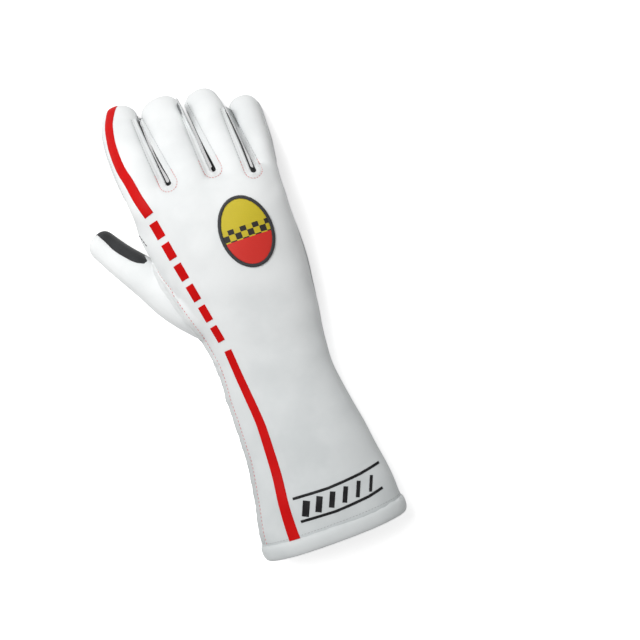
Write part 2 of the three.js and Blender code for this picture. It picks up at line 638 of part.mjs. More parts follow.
// The grip field across the palm in three strips, and the ring at its heel.
const palmGrips = {
  upper: [[46, 242.5], [-45, 242.5], [-42, 239.5], [28, 239.5], [46, 236]],
  middle: [[46.5, 232], [28, 235.5], [-42, 235.5], [-40, 232.5], [8, 229.5], [46, 219.5]],
  lower: [[46, 213.5], [8, 225], [-22, 228], [-12, 218], [0, 207], [8, 197], [30, 205]],
};
for (const [name, outline] of Object.entries(palmGrips)) {
  piece(`palm_grip_${name}`, overlay(outline, GRIP, below), GLOSS, SILICONE);
}
const heel = { x: 25, y: 181 };
const ringBlock = (outer, inner, count) => (
  block(oval(heel.x, heel.y, outer, outer, count)).subtract(block(oval(heel.x, heel.y, inner, inner, count))));
piece('heel_ring', overlay(ringBlock(17.5, 15, 14), GRIP, below), GLOSS, SILICONE);

// The white piping along the thumb's arc, and two small grips beside it.
const piping = palmArc.slice(0, 8).map(([x, y], i, all) => {
  const [ax, ay] = all[Math.max(i - 1, 0)];
  const [bx, by] = all[Math.min(i + 1, all.length - 1)];
  const normal = new THREE.Vector2(by - ay, ax - bx).normalize();
  return [x - normal.x * 1.4, y - normal.y * 1.4];
});
piece('thumb_piping', overlay(ribbon(piping, 2.2), SEAM_RISE, below), WHITE);
for (const [index, x] of [-26, -35].entries()) {
  piece(`thumb_grip_${index + 1}`, overlay(ribbon([[x, 192], [x - 2, 206]], 4.2), GRIP, below), GLOSS, SILICONE);
}

const model = new THREE.Group();
for (const { name, solid, colour, roughness } of pieces) {
  const { vertProperties, triVerts } = solid.getMesh();
  const geometry = new THREE.BufferGeometry();
  geometry.setAttribute('position', new THREE.BufferAttribute(new Float32Array(vertProperties), 3));
  geometry.setIndex(new THREE.BufferAttribute(new Uint32Array(triVerts), 1));
  const part = new THREE.Mesh(geometry, new THREE.MeshStandardMaterial({ color: colour, roughness, metalness: 0 }));
  part.name = name;
  model.add(part);
}

// The origin is under the middle of the glove's box, on the surface that it lies on.
const box = new THREE.Box3().setFromObject(model);
const centre = box.getCenter(new THREE.Vector3());
model.position.set(-centre.x, -centre.y, -box.min.z);

export default model;
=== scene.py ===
# %% [markdown]
# # A racing glove
# The glove is a long-cuff one for the right hand. It lies palm down, with its fingers curled to the
# table. On the real glove flat panels of knit and suede are sewn with their seams outside. Here one
# smooth skin is made first, and every panel, print and grip is then cut from it, so all of them fit.
#
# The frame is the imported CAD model. All the work is in millimetres on the glove's plan, and each
# finished mesh is moved to the frame's metres at the end.

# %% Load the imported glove
import math

import bpy
import numpy as np
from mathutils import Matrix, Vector
from mathutils.bvhtree import BVHTree


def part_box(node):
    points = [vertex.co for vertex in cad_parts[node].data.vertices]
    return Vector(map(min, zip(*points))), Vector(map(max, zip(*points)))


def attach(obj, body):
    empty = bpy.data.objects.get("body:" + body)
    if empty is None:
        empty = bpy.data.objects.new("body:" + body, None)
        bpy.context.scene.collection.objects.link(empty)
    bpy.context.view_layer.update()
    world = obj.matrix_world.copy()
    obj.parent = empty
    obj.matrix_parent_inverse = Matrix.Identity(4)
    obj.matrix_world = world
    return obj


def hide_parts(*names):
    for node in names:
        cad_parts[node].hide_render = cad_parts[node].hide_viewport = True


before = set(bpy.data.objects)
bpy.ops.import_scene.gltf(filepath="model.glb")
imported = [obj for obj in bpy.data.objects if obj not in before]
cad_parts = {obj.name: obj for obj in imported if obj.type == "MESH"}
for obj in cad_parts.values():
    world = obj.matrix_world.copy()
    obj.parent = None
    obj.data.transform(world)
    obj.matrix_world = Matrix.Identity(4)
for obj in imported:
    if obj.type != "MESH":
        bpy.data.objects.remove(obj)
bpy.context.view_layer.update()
MM = 0.001
HEEL = (25.0, 181.0)
ring_low, ring_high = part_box("heel_ring")
ring_middle = (ring_low + ring_high) / 2
plan_shift = np.array([ring_middle.x / MM - HEEL[0], ring_middle.y / MM - HEEL[1], 0.0])
print("plan shift in mm:", plan_shift.round(2))

# %% [markdown]
# ## The camera
# The photograph looks straight down from about 0.65 m. The glove's length runs up and to the left,
# turned 20 degrees, so the camera is rolled the other way.

# %% Camera
CAMERA_PLAN = (42.0, 141.0)
CAMERA_HEIGHT = 645.0
ROLL = math.radians(-20)
FIELD_OF_VIEW = math.radians(39.7)


def on_plan(x, y, z=0.0):
    """A place on the plan in millimetres, as a place in the frame in metres."""
    return Vector((np.array([x, y, z]) + plan_shift) * MM)


def shown(name, data):
    obj = bpy.data.objects.new(name, data)
    bpy.context.scene.collection.objects.link(obj)
    return obj


camera = shown("camera", bpy.data.cameras.new("camera"))
camera.location = on_plan(*CAMERA_PLAN, CAMERA_HEIGHT)
camera.rotation_euler = (0, 0, ROLL)
camera.data.angle = FIELD_OF_VIEW
camera.data.clip_start = 0.01
bpy.context.scene.camera = camera
print("camera at", [round(v, 3) for v in camera.location])

# %% [markdown]
# ## Sections of the hand and digits
# A glove's shape is easiest to give as sections, as a last maker does: a row for each place along
# the hand, and a smooth curve read through every column. The rows repeat the CAD's own, but soft
# fingers that lie side by side touch, so here they are about a millimetre wider than the CAD's.

# %% Section tables
MOUTH_Y = 6.0
HAND_COLUMNS = ("y", "left", "right", "bottom", "top", "slant")
HAND_ROWS = [
    (MOUTH_Y, -49.8, 53.4, 2.1, 47.8, 0),
    (18, -48.6, 53.2, 2.3, 47.3, 0),
    (30, -46.3, 51.8, 2.5, 46.5, 0),
    (52, -41.8, 48.8, 2.7, 44.0, 0),
    (75, -39.2, 45.2, 2.9, 42.3, 0),
    (100, -38.6, 41.4, 3.1, 41.3, 0),
    (128, -37.9, 40.8, 3.6, 42.0, 0),
    (148, -39.0, 43.4, 3.3, 45.0, 0),
    (168, -42.6, 46.4, 1.9, 49.5, 0),
    (190, -47.6, 48.3, 3.5, 54.5, 0),
    (212, -52.4, 49.2, 9.0, 58.5, -0.03),
    (230, -54.2, 49.9, 16.0, 60.0, -0.09),
    (247, -53.8, 50.4, 22.0, 59.0, -0.14),
    (256, -51.8, 49.4, 27.0, 55.5, -0.16),
    (261, -47.0, 45.4, 34.0, 49.0, -0.17),
]
DIGIT_COLUMNS = ("x", "y", "z", "width", "thick")
DIGIT_ROWS = {
    "index": [
        (-36.0, 226, 37.0, 26.0, 24.0),
        (-38.4, 248, 44.0, 29.6, 25.5),
        (-40.0, 268, 40.5, 31.2, 24.5),
        (-42.2, 290, 32.0, 30.0, 23.0),
        (-43.3, 309, 21.6, 28.6, 21.5),
        (-43.4, 321.5, 12.8, 26.6, 20.0),
    ],
    "middle": [
        (-6.0, 228, 40.0, 27.0, 25.0),
        (-6.8, 250, 46.0, 28.4, 26.0),
        (-8.6, 270, 40.5, 29.8, 24.5),
        (-11.1, 290, 31.0, 31.0, 23.0),
        (-12.6, 305, 21.6, 31.4, 21.8),
        (-13.8, 317, 13.0, 30.4, 20.5),
    ],
    "ring": [
        (21.5, 226, 37.5, 26.0, 24.0),
        (21.4, 247, 43.0, 25.0, 24.5),
        (20.4, 267, 38.0, 25.7, 23.0),
        (18.6, 287, 29.0, 26.2, 22.0),
        (17.1, 303, 19.4, 26.2, 21.0),
        (15.4, 313.5, 12.6, 25.6, 19.8),
    ],
    "little": [
        (39.0, 216, 30.0, 20.0, 21.0),
        (41.2, 238, 35.0, 18.0, 22.0),
        (42.8, 258, 31.0, 16.4, 20.5),
        (43.1, 276, 24.0, 18.8, 19.5),
        (42.8, 290, 16.4, 20.8, 18.5),
        (42.5, 300, 11.0, 21.8, 17.5),
    ],
    "thumb": [
        (-29.0, 158, 22.0, 21.0, 28.0),
        (-38.0, 174, 23.0, 28.0, 34.0),
        (-50.0, 191, 22.0, 30.0, 32.0),
        (-62.0, 209, 19.2, 27.5, 28.0),
        (-74.0, 226, 15.4, 24.5, 24.0),
        (-84.5, 242, 11.8, 22.0, 20.5),
    ],
}
hand = dict(zip(HAND_COLUMNS, np.array(HAND_ROWS, float).T))
digits = {name: dict(zip(DIGIT_COLUMNS, np.array(rows, float).T)) for name, rows in DIGIT_ROWS.items()}


def smooth_column(at, places, values):
    """Reads a column at any places, on a smooth curve through its rows."""
    last = len(places) - 1
    at = np.clip(at, places[0], places[-1])
    before = np.maximum(np.arange(last + 1) - 1, 0)
    after = np.minimum(np.arange(last + 1) + 1, last)
    slopes = (values[after] - values[before]) / (places[after] - places[before])
    row = np.clip(np.searchsorted(places, at, side="right") - 1, 0, last - 1)
    span = places[row + 1] - places[row]
    t = (at - places[row]) / span
    rise = values[row + 1] - values[row]
    out, into = slopes[row] * span, slopes[row + 1] * span
    return values[row] + t * (out + t * (3 * rise - 2 * out - into + t * (out + into - 2 * rise)))


def along_hand(name, y):
    return smooth_column(y, hand["y"], hand[name])


print(len(HAND_ROWS), "hand sections and", sum(map(len, DIGIT_ROWS.values())), "digit sections")

# %% [markdown]
# ## Rings round the hand and digits
# Each section becomes a ring of points. A real glove is rounder over the back of the hand than
# under the palm, so the lower half of a ring is a little squarer. It lies flat on the table.

# %% Rings
SIDE_SHARE = 0.47
FLOOR_LIFT = 1.25
TIP_REACH, TIP_SQUARE = 0.46, 0.62


def rounded(angle, half_width, half_up, half_down):
    """A point of a rounded section: how far across and how far up."""
    power = np.where(np.sin(angle) >= 0, 2 / 2.25, 2 / 2.7)
    across = np.sign(np.cos(angle)) * np.abs(np.cos(angle)) ** power
    up = np.sign(np.sin(angle)) * np.abs(np.sin(angle)) ** power
    return across * half_width, up * np.where(up > 0, half_up, half_down)


def crease(x, y, x0, y0, x1, y1, width):
    """How strongly a place feels a crease that runs from one plan point to another, from 0 to 1."""
    length2 = (x1 - x0) ** 2 + (y1 - y0) ** 2
    t = np.clip(((x - x0) * (x1 - x0) + (y - y0) * (y1 - y0)) / length2, 0, 1)
    away = np.hypot(x - x0 - t * (x1 - x0), y - y0 - t * (y1 - y0))
    return np.exp(-((away / width) ** 2)) * np.sin(np.pi * (0.15 + 0.7 * t))


def hand_points(y, angle, grow=0.0, floor=None):
    """Points on the hand and cuff at some places and angles, moved out by grow."""
    y, angle = np.broadcast_arrays(np.asarray(y, float), np.asarray(angle, float))
    left, right, bottom, top = (along_hand(name, y) for name in ("left", "right", "bottom", "top"))
    side = bottom + (top - bottom) * SIDE_SHARE
    across, up = rounded(angle, (right - left) / 2 + grow, top - side + grow, side - bottom + grow)
    x = (left + right) / 2 + across
    z = np.maximum(side + up, FLOOR_LIFT - grow if floor is None else floor)
    return np.stack([x, y + along_hand("slant", y) * x, z], axis=-1)


def digit_frames(name, share):
    """Middle, forward, side and up directions, width and thickness along a digit."""
    table = digits[name]
    rows = np.arange(len(table["x"]), dtype=float)
    at = np.asarray(share, float) * rows[-1]
    middle = np.stack([smooth_column(at, rows, table[axis]) for axis in "xyz"], axis=-1)
    ahead = np.stack([smooth_column(at + 0.01, rows, table[axis]) for axis in "xyz"], axis=-1)
    behind = np.stack([smooth_column(at - 0.01, rows, table[axis]) for axis in "xyz"], axis=-1)
    forward = (ahead - behind) / np.linalg.norm(ahead - behind, axis=-1, keepdims=True)
    side = np.cross(forward, [0, 0, 1])
    side /= np.linalg.norm(side, axis=-1, keepdims=True)
    width, thick = (smooth_column(at, rows, table[column]) for column in ("width", "thick"))
    return middle, forward, side, np.cross(side, forward), width, thick


def hand_rings():
    angle = np.linspace(0, 2 * np.pi, 120, endpoint=False)
    stations = np.concatenate([np.arange(0, 247, 3.0), np.linspace(247, 261, 8)])
    return np.stack([hand_points(y, angle) for y in stations])


def digit_rings(name):
    angle = np.linspace(0, 2 * np.pi, 56, endpoint=False)
    share = np.linspace(0, 1, 36)
    middle, forward, side, up, width, thick = digit_frames(name, share)
    turn = np.radians(np.linspace(8, 88, 11))
    tip = middle[-1] + forward[-1] * (width[-1] * TIP_REACH * np.sin(turn))[:, None]
    middle = np.concatenate([middle, tip])
    shrink = np.concatenate([np.ones(36), np.cos(turn) ** TIP_SQUARE])
    side, up, width, thick = (
        np.concatenate([a, np.repeat(a[-1:], len(turn), axis=0)]) for a in (side, up, width, thick)
    )
    across, rise = rounded(angle[None], (width * shrink / 2)[:, None], (thick * shrink / 2)[:, None],
                           (thick * shrink / 2)[:, None])
    rings = middle[:, None] + side[:, None] * across[..., None] + up[:, None] * rise[..., None]
    rings[..., 2] = np.maximum(rings[..., 2], FLOOR_LIFT)
    return rings


print("hand rings", hand_rings().shape[:2], "index rings", digit_rings("index").shape[:2])

# %% [markdown]
# ## One skin from six tubes
# The hand and the five digits are tubes that run into each other. A voxel remesh joins them as a
# potter joins coils of clay, and a few rounds of smoothing blend the joins. Boolean modifiers would
# leave sharp creases at the crotches, where the cloth of a real glove flows. The voxels would also
# bridge the narrow gaps between the fingers, so the fingers are spread for the join, and closed after.

# %% Join and smooth the skin
VOXEL = 1.15


def tube_faces(rings, around, first=0):
    faces = []
    for i in range(rings - 1):
        for j in range(around):
            k = (j + 1) % around
            faces.append([first + i * around + j, first + i * around + k,
                          first + (i + 1) * around + k, first + (i + 1) * around + j])
    faces.append([first + j for j in range(around)][::-1])
    faces.append([first + (rings - 1) * around + j for j in range(around)])
    return faces


def mesh_from(name, points, faces):
    mesh = bpy.data.meshes.new(name)
    mesh.from_pydata(np.asarray(points).tolist(), [], [list(map(int, face)) for face in faces])
    mesh.update()
    return mesh


def evaluated_copy(obj, name):
    """The mesh that an object's modifiers make, as a plain mesh."""
    graph = bpy.context.evaluated_depsgraph_get()
    mesh = bpy.data.meshes.new_from_object(obj.evaluated_get(graph))
    mesh.name = name
    return mesh


def placed(name, points, faces):
    """A smooth-shaded object from points in millimetres on the glove's plan."""
    mesh = mesh_from(name, (np.reshape(points, (-1, 3)) + plan_shift) * MM, faces)
    mesh.shade_smooth()
    return shown(name, mesh)


def mesh_points(mesh):
    flat = np.zeros(len(mesh.vertices) * 3)
    mesh.vertices.foreach_get("co", flat)
    return flat.reshape(-1, 3)


def smoothed(points, edges, rounds, weight=1.0, back=-0.57):
    """Moves every point towards its neighbours' middle, then by default back out, so nothing shrinks."""
    count = np.bincount(edges.ravel(), minlength=len(points))[:, None]
    for turn in range(rounds * 2):
        total = np.zeros_like(points)
        for axis in range(3):
            total[:, axis] = np.bincount(edges[:, 0], points[edges[:, 1], axis], len(points))
            total[:, axis] += np.bincount(edges[:, 1], points[edges[:, 0], axis], len(points))
        share = 0.55 if turn % 2 == 0 else back
        points = points + share * weight * (total / count - points)
    return points


SPREAD = {"index": -4.5, "middle": -1.5, "ring": 1.5, "little": 4.5}
SPREAD_START, SPREAD_END, WEB = 248.0, 264.0, 1.1


def spread_share(y):
    t = np.clip((y - SPREAD_START) / (SPREAD_END - SPREAD_START), 0, 1)
    return t * t * (3 - 2 * t)


def spread_at(x, y, opened):
    """How far the fingers' spreading moves each place, given as it is before, 0, or after it, 1."""
    names, share = list(SPREAD), spread_share(y)
    move = np.full(x.shape, SPREAD["index"])
    for first, second in zip(names[:-1], names[1:]):
        a, b = digits[first], digits[second]
        middle = (np.interp(y, a["y"], a["x"] + a["width"] / 2)
                  + np.interp(y, b["y"], b["x"] - b["width"] / 2)) / 2
        step = SPREAD[second] - SPREAD[first]
        middle = middle + opened * share * (SPREAD[first] + SPREAD[second]) / 2
        reach = WEB + opened * share * step / 2
        move = move + step * np.clip((x - middle + reach) / (2 * reach), 0, 1)
    return move * share


tubes = [hand_rings()] + [digit_rings(name) for name in digits]
tubes[0][..., 0] += spread_at(tubes[0][..., 0], tubes[0][..., 1], 0)
for rings, name in zip(tubes[1:], digits):
    rings[..., 0] += SPREAD.get(name, 0.0) * spread_share(rings[..., 1])
all_points, all_faces = [], []
for rings in tubes:
    all_faces += tube_faces(rings.shape[0], rings.shape[1], first=sum(map(len, all_points)))
    all_points.append(rings.reshape(-1, 3))
form = shown("skin_form", mesh_from("skin_form", np.concatenate(all_points), all_faces))
remesh = form.modifiers.new("join", "REMESH")
remesh.mode = "VOXEL"
remesh.voxel_size = VOXEL
skin_mesh = evaluated_copy(form, "skin")
bpy.data.objects.remove(form)
skin_points = mesh_points(skin_mesh)
skin_quads = np.array([list(face.vertices) for face in skin_mesh.polygons])
skin_edges = np.array([list(edge.vertices) for edge in skin_mesh.edges])
skin_points = smoothed(skin_points, skin_edges, 4)
crotch = np.exp(-(((skin_points[:, 1] - 254) / 9) ** 2)) * (skin_points[:, 2] > 30)
skin_points = smoothed(skin_points, skin_edges, 8, crotch[:, None])
skin_points[:, 0] -= spread_at(skin_points[:, 0], skin_points[:, 1], 1)
print("skin points:", len(skin_points), "faces:", len(skin_quads))

# %% [markdown]
# ## Where the seams run
# A seam is the line where a field changes its sign, such as the height above a sheet that passes
# through the middle of every finger. Fields are plain functions of a place, so a panel can be cut at
# any fineness, and two neighbours share exactly the same line.

# %% Fields for the seams
FAR = 140.0
WELT_Y, WELT_DIP, WELT_HALF, ELASTIC_Y = 149.0, 8.0, 3.4, 128.0
SHEET_LANES = [-FAR, -38, -8, 20, 40, FAR]
SHEET_SHARES = [0.66, 0.66, 0.55, 0.5, 0.42, 0.42]
SHEET_PLACES = [(-40, 0.66), (MOUTH_Y, 0.66), (45, 0.66), (96, 0.66), (148, 0.66), (190, 0.66), (212, 0.58),
                (228, 0.38)]
SHEET_DROP = [38.0, 26.5, 15.0, 15.0, 15.0]
SIDE_SEAM = [(-54.4, 221), (-52.3, 205), (-48.6, 191), (-44.9, 177), (-41.0, 163), (-38.0, 150),
             (-37.0, 143.4)]
PALM_ARC = [
    (-46, 218), (-32, 221.5), (-17, 219), (-8, 209), (-5.2, 197), (-9, 188), (-16.5, 178.5), (-21.5, 171),
    (-18.4, 163), (-13, 150.5), (-22, 147.6), (-32, 142.2),
]
BEYOND_THUMB = [(-FAR, 142.2), (-FAR, 270), (-66, 270), (-60.5, 232)]
INNER_UNDER = [(-100, 262), (-92, 243), (-78, 229), (-69, 212), (-60, 201), (-43, 187), (-25, 174.5),
               (-21.5, 171)]
INNER_ON_TOP = [(-97, 266), (-88, 255), (-82, 245.5), (-77, 236), (-70, 227.5), (-65, 222.5), (-59.5, 219.5)]
SLITS = {
    "index_middle": (-21.9, 261.3, -30.5, 316, 5.6, 3.2),
    "middle_ring": (9.0, 260.6, 2.6, 316, 5.6, 3.2),
    "ring_little": (34.4, 250.4, 30.4, 301, 5.2, 2.9),
}


def ramp(value, low, high):
    """A smooth step from 0 below low to 1 above high."""
    t = np.clip((value - low) / (high - low), 0, 1)
    return t * t * (3 - 2 * t)


def sheet_lanes():
    """The sheet's lanes from hem to fingertips. Beside the outer fingers it drops out of sight from above."""
    lanes = []
    for lane, (x, share) in enumerate(zip(SHEET_LANES, SHEET_SHARES)):
        rows = []
        for y, thumb_side in SHEET_PLACES:
            height = thumb_side if lane < 2 else share
            rows.append((x, y, along_hand("bottom", y) * (1 - height) + along_hand("top", y) * height))
        lanes.append(rows)
    shares = [0.25, 0.5, 0.75, 1.0]
    for lane, name in enumerate(("index", "index", "middle", "ring", "little", "little")):
        middle, forward = digit_frames(name, shares)[:2]
        for (x, y, z), drop in zip([*middle, middle[-1] + forward[-1] * 30], SHEET_DROP):
            outer = lane in (0, 5)
            lanes[lane].append((SHEET_LANES[lane] if outer else x, y, z - drop if outer else z))
    return [np.array(lane).T for lane in lanes]


LANES = sheet_lanes()


def sheet_height(x, y):
    """Height of the sheet that parts the back of the glove from its palm side."""
    xs = np.stack([smooth_column(y, lane[1], lane[0]) for lane in LANES])
    zs = np.stack([smooth_column(y, lane[1], lane[2]) for lane in LANES])
    height = zs[0].copy()
    for lane in range(len(LANES) - 1):
        share = np.clip((x - xs[lane]) / (xs[lane + 1] - xs[lane]), 0, 1)
        height += (zs[lane + 1] - zs[lane]) * share
    return height


def flowing(points, count=6):
    """A smooth curve through plan points."""
    points = np.array(points, float)
    rows = np.arange(len(points), dtype=float)
    at = np.linspace(0, rows[-1], (len(points) - 1) * count + 1)
    return np.stack([smooth_column(at, rows, points[:, axis]) for axis in range(2)], axis=-1)


def inside(outline, p):
    """Distance of points into a closed plan outline, negative outside it."""
    outline, x, y = np.array(outline, float), p[:, 0], p[:, 1]
    best = np.full(x.shape, 1e9)
    crossings = np.zeros(x.shape, int)
    for (ax, ay), (bx, by) in zip(outline, np.roll(outline, -1, axis=0)):
        length2 = max((bx - ax) ** 2 + (by - ay) ** 2, 1e-9)
        t = np.clip(((x - ax) * (bx - ax) + (y - ay) * (by - ay)) / length2, 0, 1)
        best = np.minimum(best, np.hypot(x - ax - t * (bx - ax), y - ay - t * (by - ay)))
        if ay != by:
            crossings += ((ay > y) != (by > y)) & (x < (bx - ax) * (y - ay) / (by - ay) + ax)
    return np.where(crossings % 2 == 1, best, -best)


def from_line(line, p):
    """Distance of points from an open plan line, and how far along it they are, in its own points."""
    line, x, y = np.array(line, float), p[:, 0], p[:, 1]
    best, along = np.full(x.shape, 1e9), np.zeros(x.shape)
    for i, ((ax, ay), (bx, by)) in enumerate(zip(line[:-1], line[1:])):
        length2 = (bx - ax) ** 2 + (by - ay) ** 2
        t = np.clip(((x - ax) * (bx - ax) + (y - ay) * (by - ay)) / length2, 0, 1)
        away = np.hypot(x - ax - t * (bx - ax), y - ay - t * (by - ay))
        closer = away < best
        best, along = np.where(closer, away, best), np.where(closer, i + t, along)
    return best, along


def slit_outline(name, share=1.0, longer=0.0):
    x, y, far_x, far_y, half, far_half = SLITS[name]
    arc = [(x + half * share * math.cos(math.radians(a)), y + half * share * math.sin(math.radians(a)))
           for a in range(180, 361, 15)]
    return [(far_x - far_half * share, far_y + longer), *arc, (far_x + far_half * share, far_y + longer)]


def welt_y(x):
    return WELT_Y - WELT_DIP * ramp(-x, 8, 34)


print("sheet height at the knuckles:", sheet_height(np.array([0.0]), np.array([230.0])).round(1))

# %% Fields for the panels
thumb_under = [*flowing(PALM_ARC), *BEYOND_THUMB]
thumb_on_top = [*flowing(SIDE_SEAM), *BEYOND_THUMB]
inner_under = [*flowing(INNER_UNDER), *flowing(PALM_ARC[:8])[::-1], (-66, 270)]
inner_on_top = [*flowing(INNER_ON_TOP), (-57, 221), (-60.5, 232), (-66, 270)]


def over_sheet(p):
    return p[:, 2] - sheet_height(p[:, 0], p[:, 1])


def thumb_field(p):
    share = ramp(over_sheet(p), -3, 3)
    under, top = inside(thumb_under, p), inside(thumb_on_top, p)
    return under * (1 - share) + top * share


def inner_thumb_field(p):
    share = ramp(p[:, 2], 11, 17)
    under, top = inside(inner_under, p), inside(inner_on_top, p)
    return under * (1 - share) + top * share


def slit_field(name):
    def field(p):
        share = ramp(over_sheet(p), -4, 2)
        slim = inside(slit_outline(name, 0.7), p)
        wide = inside(slit_outline(name, 0.86), p)
        return slim * (1 - share) + wide * share
    return field


def mouth_field(p):
    return p[:, 1] - MOUTH_Y


def palm_end_field(p):
    return p[:, 1] - welt_y(p[:, 0]) - WELT_HALF + 2.4


def opposite(field):
    return lambda p: -field(p)


thumb_at = thumb_field(skin_points)
print("points on the thumb:", int((thumb_at > 0).sum()))

# %% [markdown]
# ## Wrinkles and sewn-in seams
# Cloth lies in soft swells, and it dips where a seam pulls it in. Both are moves of the skin's
# points along their normals, made before the cut, so the two sides of a seam dip together. The
# knuckles are eased first, and each slit is sunk a little at its root, under its folded edge.

# %% Wrinkles
SLIT_DIP, KNUCKLE_ROUNDS, FAR = 7.0, 24, 99
rng = np.random.default_rng(21)
SWELLS = [(rng.uniform(-1, 1, 2), rng.uniform(0, 6.28), rng.uniform(26, 60)) for _ in range(9)]
CREASES = [
    # x0, y0, x1, y1, width, depth, 1 on the back of the hand or -1 under it
    (-50, 172, -36, 200, 5.0, 1.0, 1), (-57, 190, -47, 206, 4.5, 0.8, 1), (-60, 205, -70, 222, 5.5, 0.7, 1),
    (-36, 136, -22, 128, 4.5, 0.5, 1), (30, 120, 42, 108, 6.0, 0.8, 1), (34, 96, 44, 84, 7.0, 0.8, 1),
    (-38, 62, -28, 74, 6.0, 0.7, 1), (38, 232, 49, 240, 5.0, 0.6, 1), (24, 16, 40, 34, 8.0, 0.7, 1),
    (4, 106, -27, 122, 6.5, 2.4, -1), (-8, 92, -30, 110, 5.5, 2.0, -1), (-30, 40, 6, 58, 8.0, 1.0, -1),
    (20, 206, -10, 196, 6.0, 0.7, -1), (30, 226, 44, 216, 5.0, 0.6, -1), (-52, 214, -62, 196, 5.0, 0.8, -1),
]


def normals_of(points, quads):
    face = np.cross(points[quads[:, 2]] - points[quads[:, 0]], points[quads[:, 3]] - points[quads[:, 1]])
    total = np.zeros_like(points)
    for corner in range(4):
        for axis in range(3):
            total[:, axis] += np.bincount(quads[:, corner], face[:, axis], len(points))
    return total / np.maximum(np.linalg.norm(total, axis=1, keepdims=True), 1e-9)


def swell(p):
    waves = [np.sin(6.28 * (p[:, 0] * way[0] + p[:, 1] * way[1] + 0.6 * p[:, 2]) / length + start)
             for way, start, length in SWELLS]
    return 0.17 * sum(waves)


def seam_dip(p):
    """How near a place is to a sewn seam, from 0 to 1."""
    away = np.minimum(np.abs(thumb_at), np.where(thumb_at > 0, np.abs(inner_thumb_field(p)), FAR))
    parting = np.where((thumb_at < 0) & (p[:, 1] > 150), np.abs(over_sheet(p)) * 0.9, FAR)
    away = np.minimum(away, parting)
    for name in SLITS:
        away = np.minimum(away, np.abs(slit_field(name)(p)))
    return np.exp(-((away / 1.1) ** 2))


KNUCKLES_START, KNUCKLES_END, KNUCKLES_FADE = 230, 276, 14
knuckles = ramp(skin_points[:, 1], KNUCKLES_START, KNUCKLES_START + KNUCKLES_FADE)
knuckles *= 1 - ramp(skin_points[:, 1], KNUCKLES_END - KNUCKLES_FADE, KNUCKLES_END)
knuckles *= ramp(skin_points[:, 2] + 3 * np.maximum(skin_points[:, 0] - 40, 0), 22, 34)
for name in SLITS:
    knuckles *= ramp(-inside(slit_outline(name, 1.1, longer=12.0), skin_points), 0, 4)
skin_points = smoothed(skin_points, skin_edges, KNUCKLE_ROUNDS, knuckles[:, None], back=0.4)
skin_normals = normals_of(skin_points, skin_quads)
above = over_sheet(skin_points) > 0
move = swell(skin_points) * ramp(skin_points[:, 2], 3, 14)
for x0, y0, x1, y1, width, depth, face in CREASES:
    felt = crease(skin_points[:, 0], skin_points[:, 1], x0, y0, x1, y1, width)
    move -= depth * felt * (above == (face > 0)) * ramp(np.abs(over_sheet(skin_points)), 0, 5)
move -= 0.42 * seam_dip(skin_points)
skin_points = skin_points + skin_normals * move[:, None]
for name, (_, y, *_) in SLITS.items():
    deep = ramp(inside(slit_outline(name, 0.55, longer=6.0), skin_points), -0.6, 1.8)
    deep *= ramp(skin_points[:, 2], 30, 40) * (1 - ramp(skin_points[:, 1], y + 4, y + 16))
    skin_points[:, 2] -= SLIT_DIP * deep
skin_points[:, 2] = np.maximum(skin_points[:, 2], FLOOR_LIFT)
skin_points = smoothed(skin_points, skin_edges, 1)
skin_normals = normals_of(skin_points, skin_quads)
print("skin moved by", move.min().round(2), "to", move.max().round(2), "mm")

# %% [markdown]
# ## A pair of scissors
# Cutting keeps the faces on one side of a field and trims those that it crosses, at the very place
# where the field is nought. The same scissors cut panels, prints and grips. For small pieces the
# skin is first divided once more, so that their edges stay round.

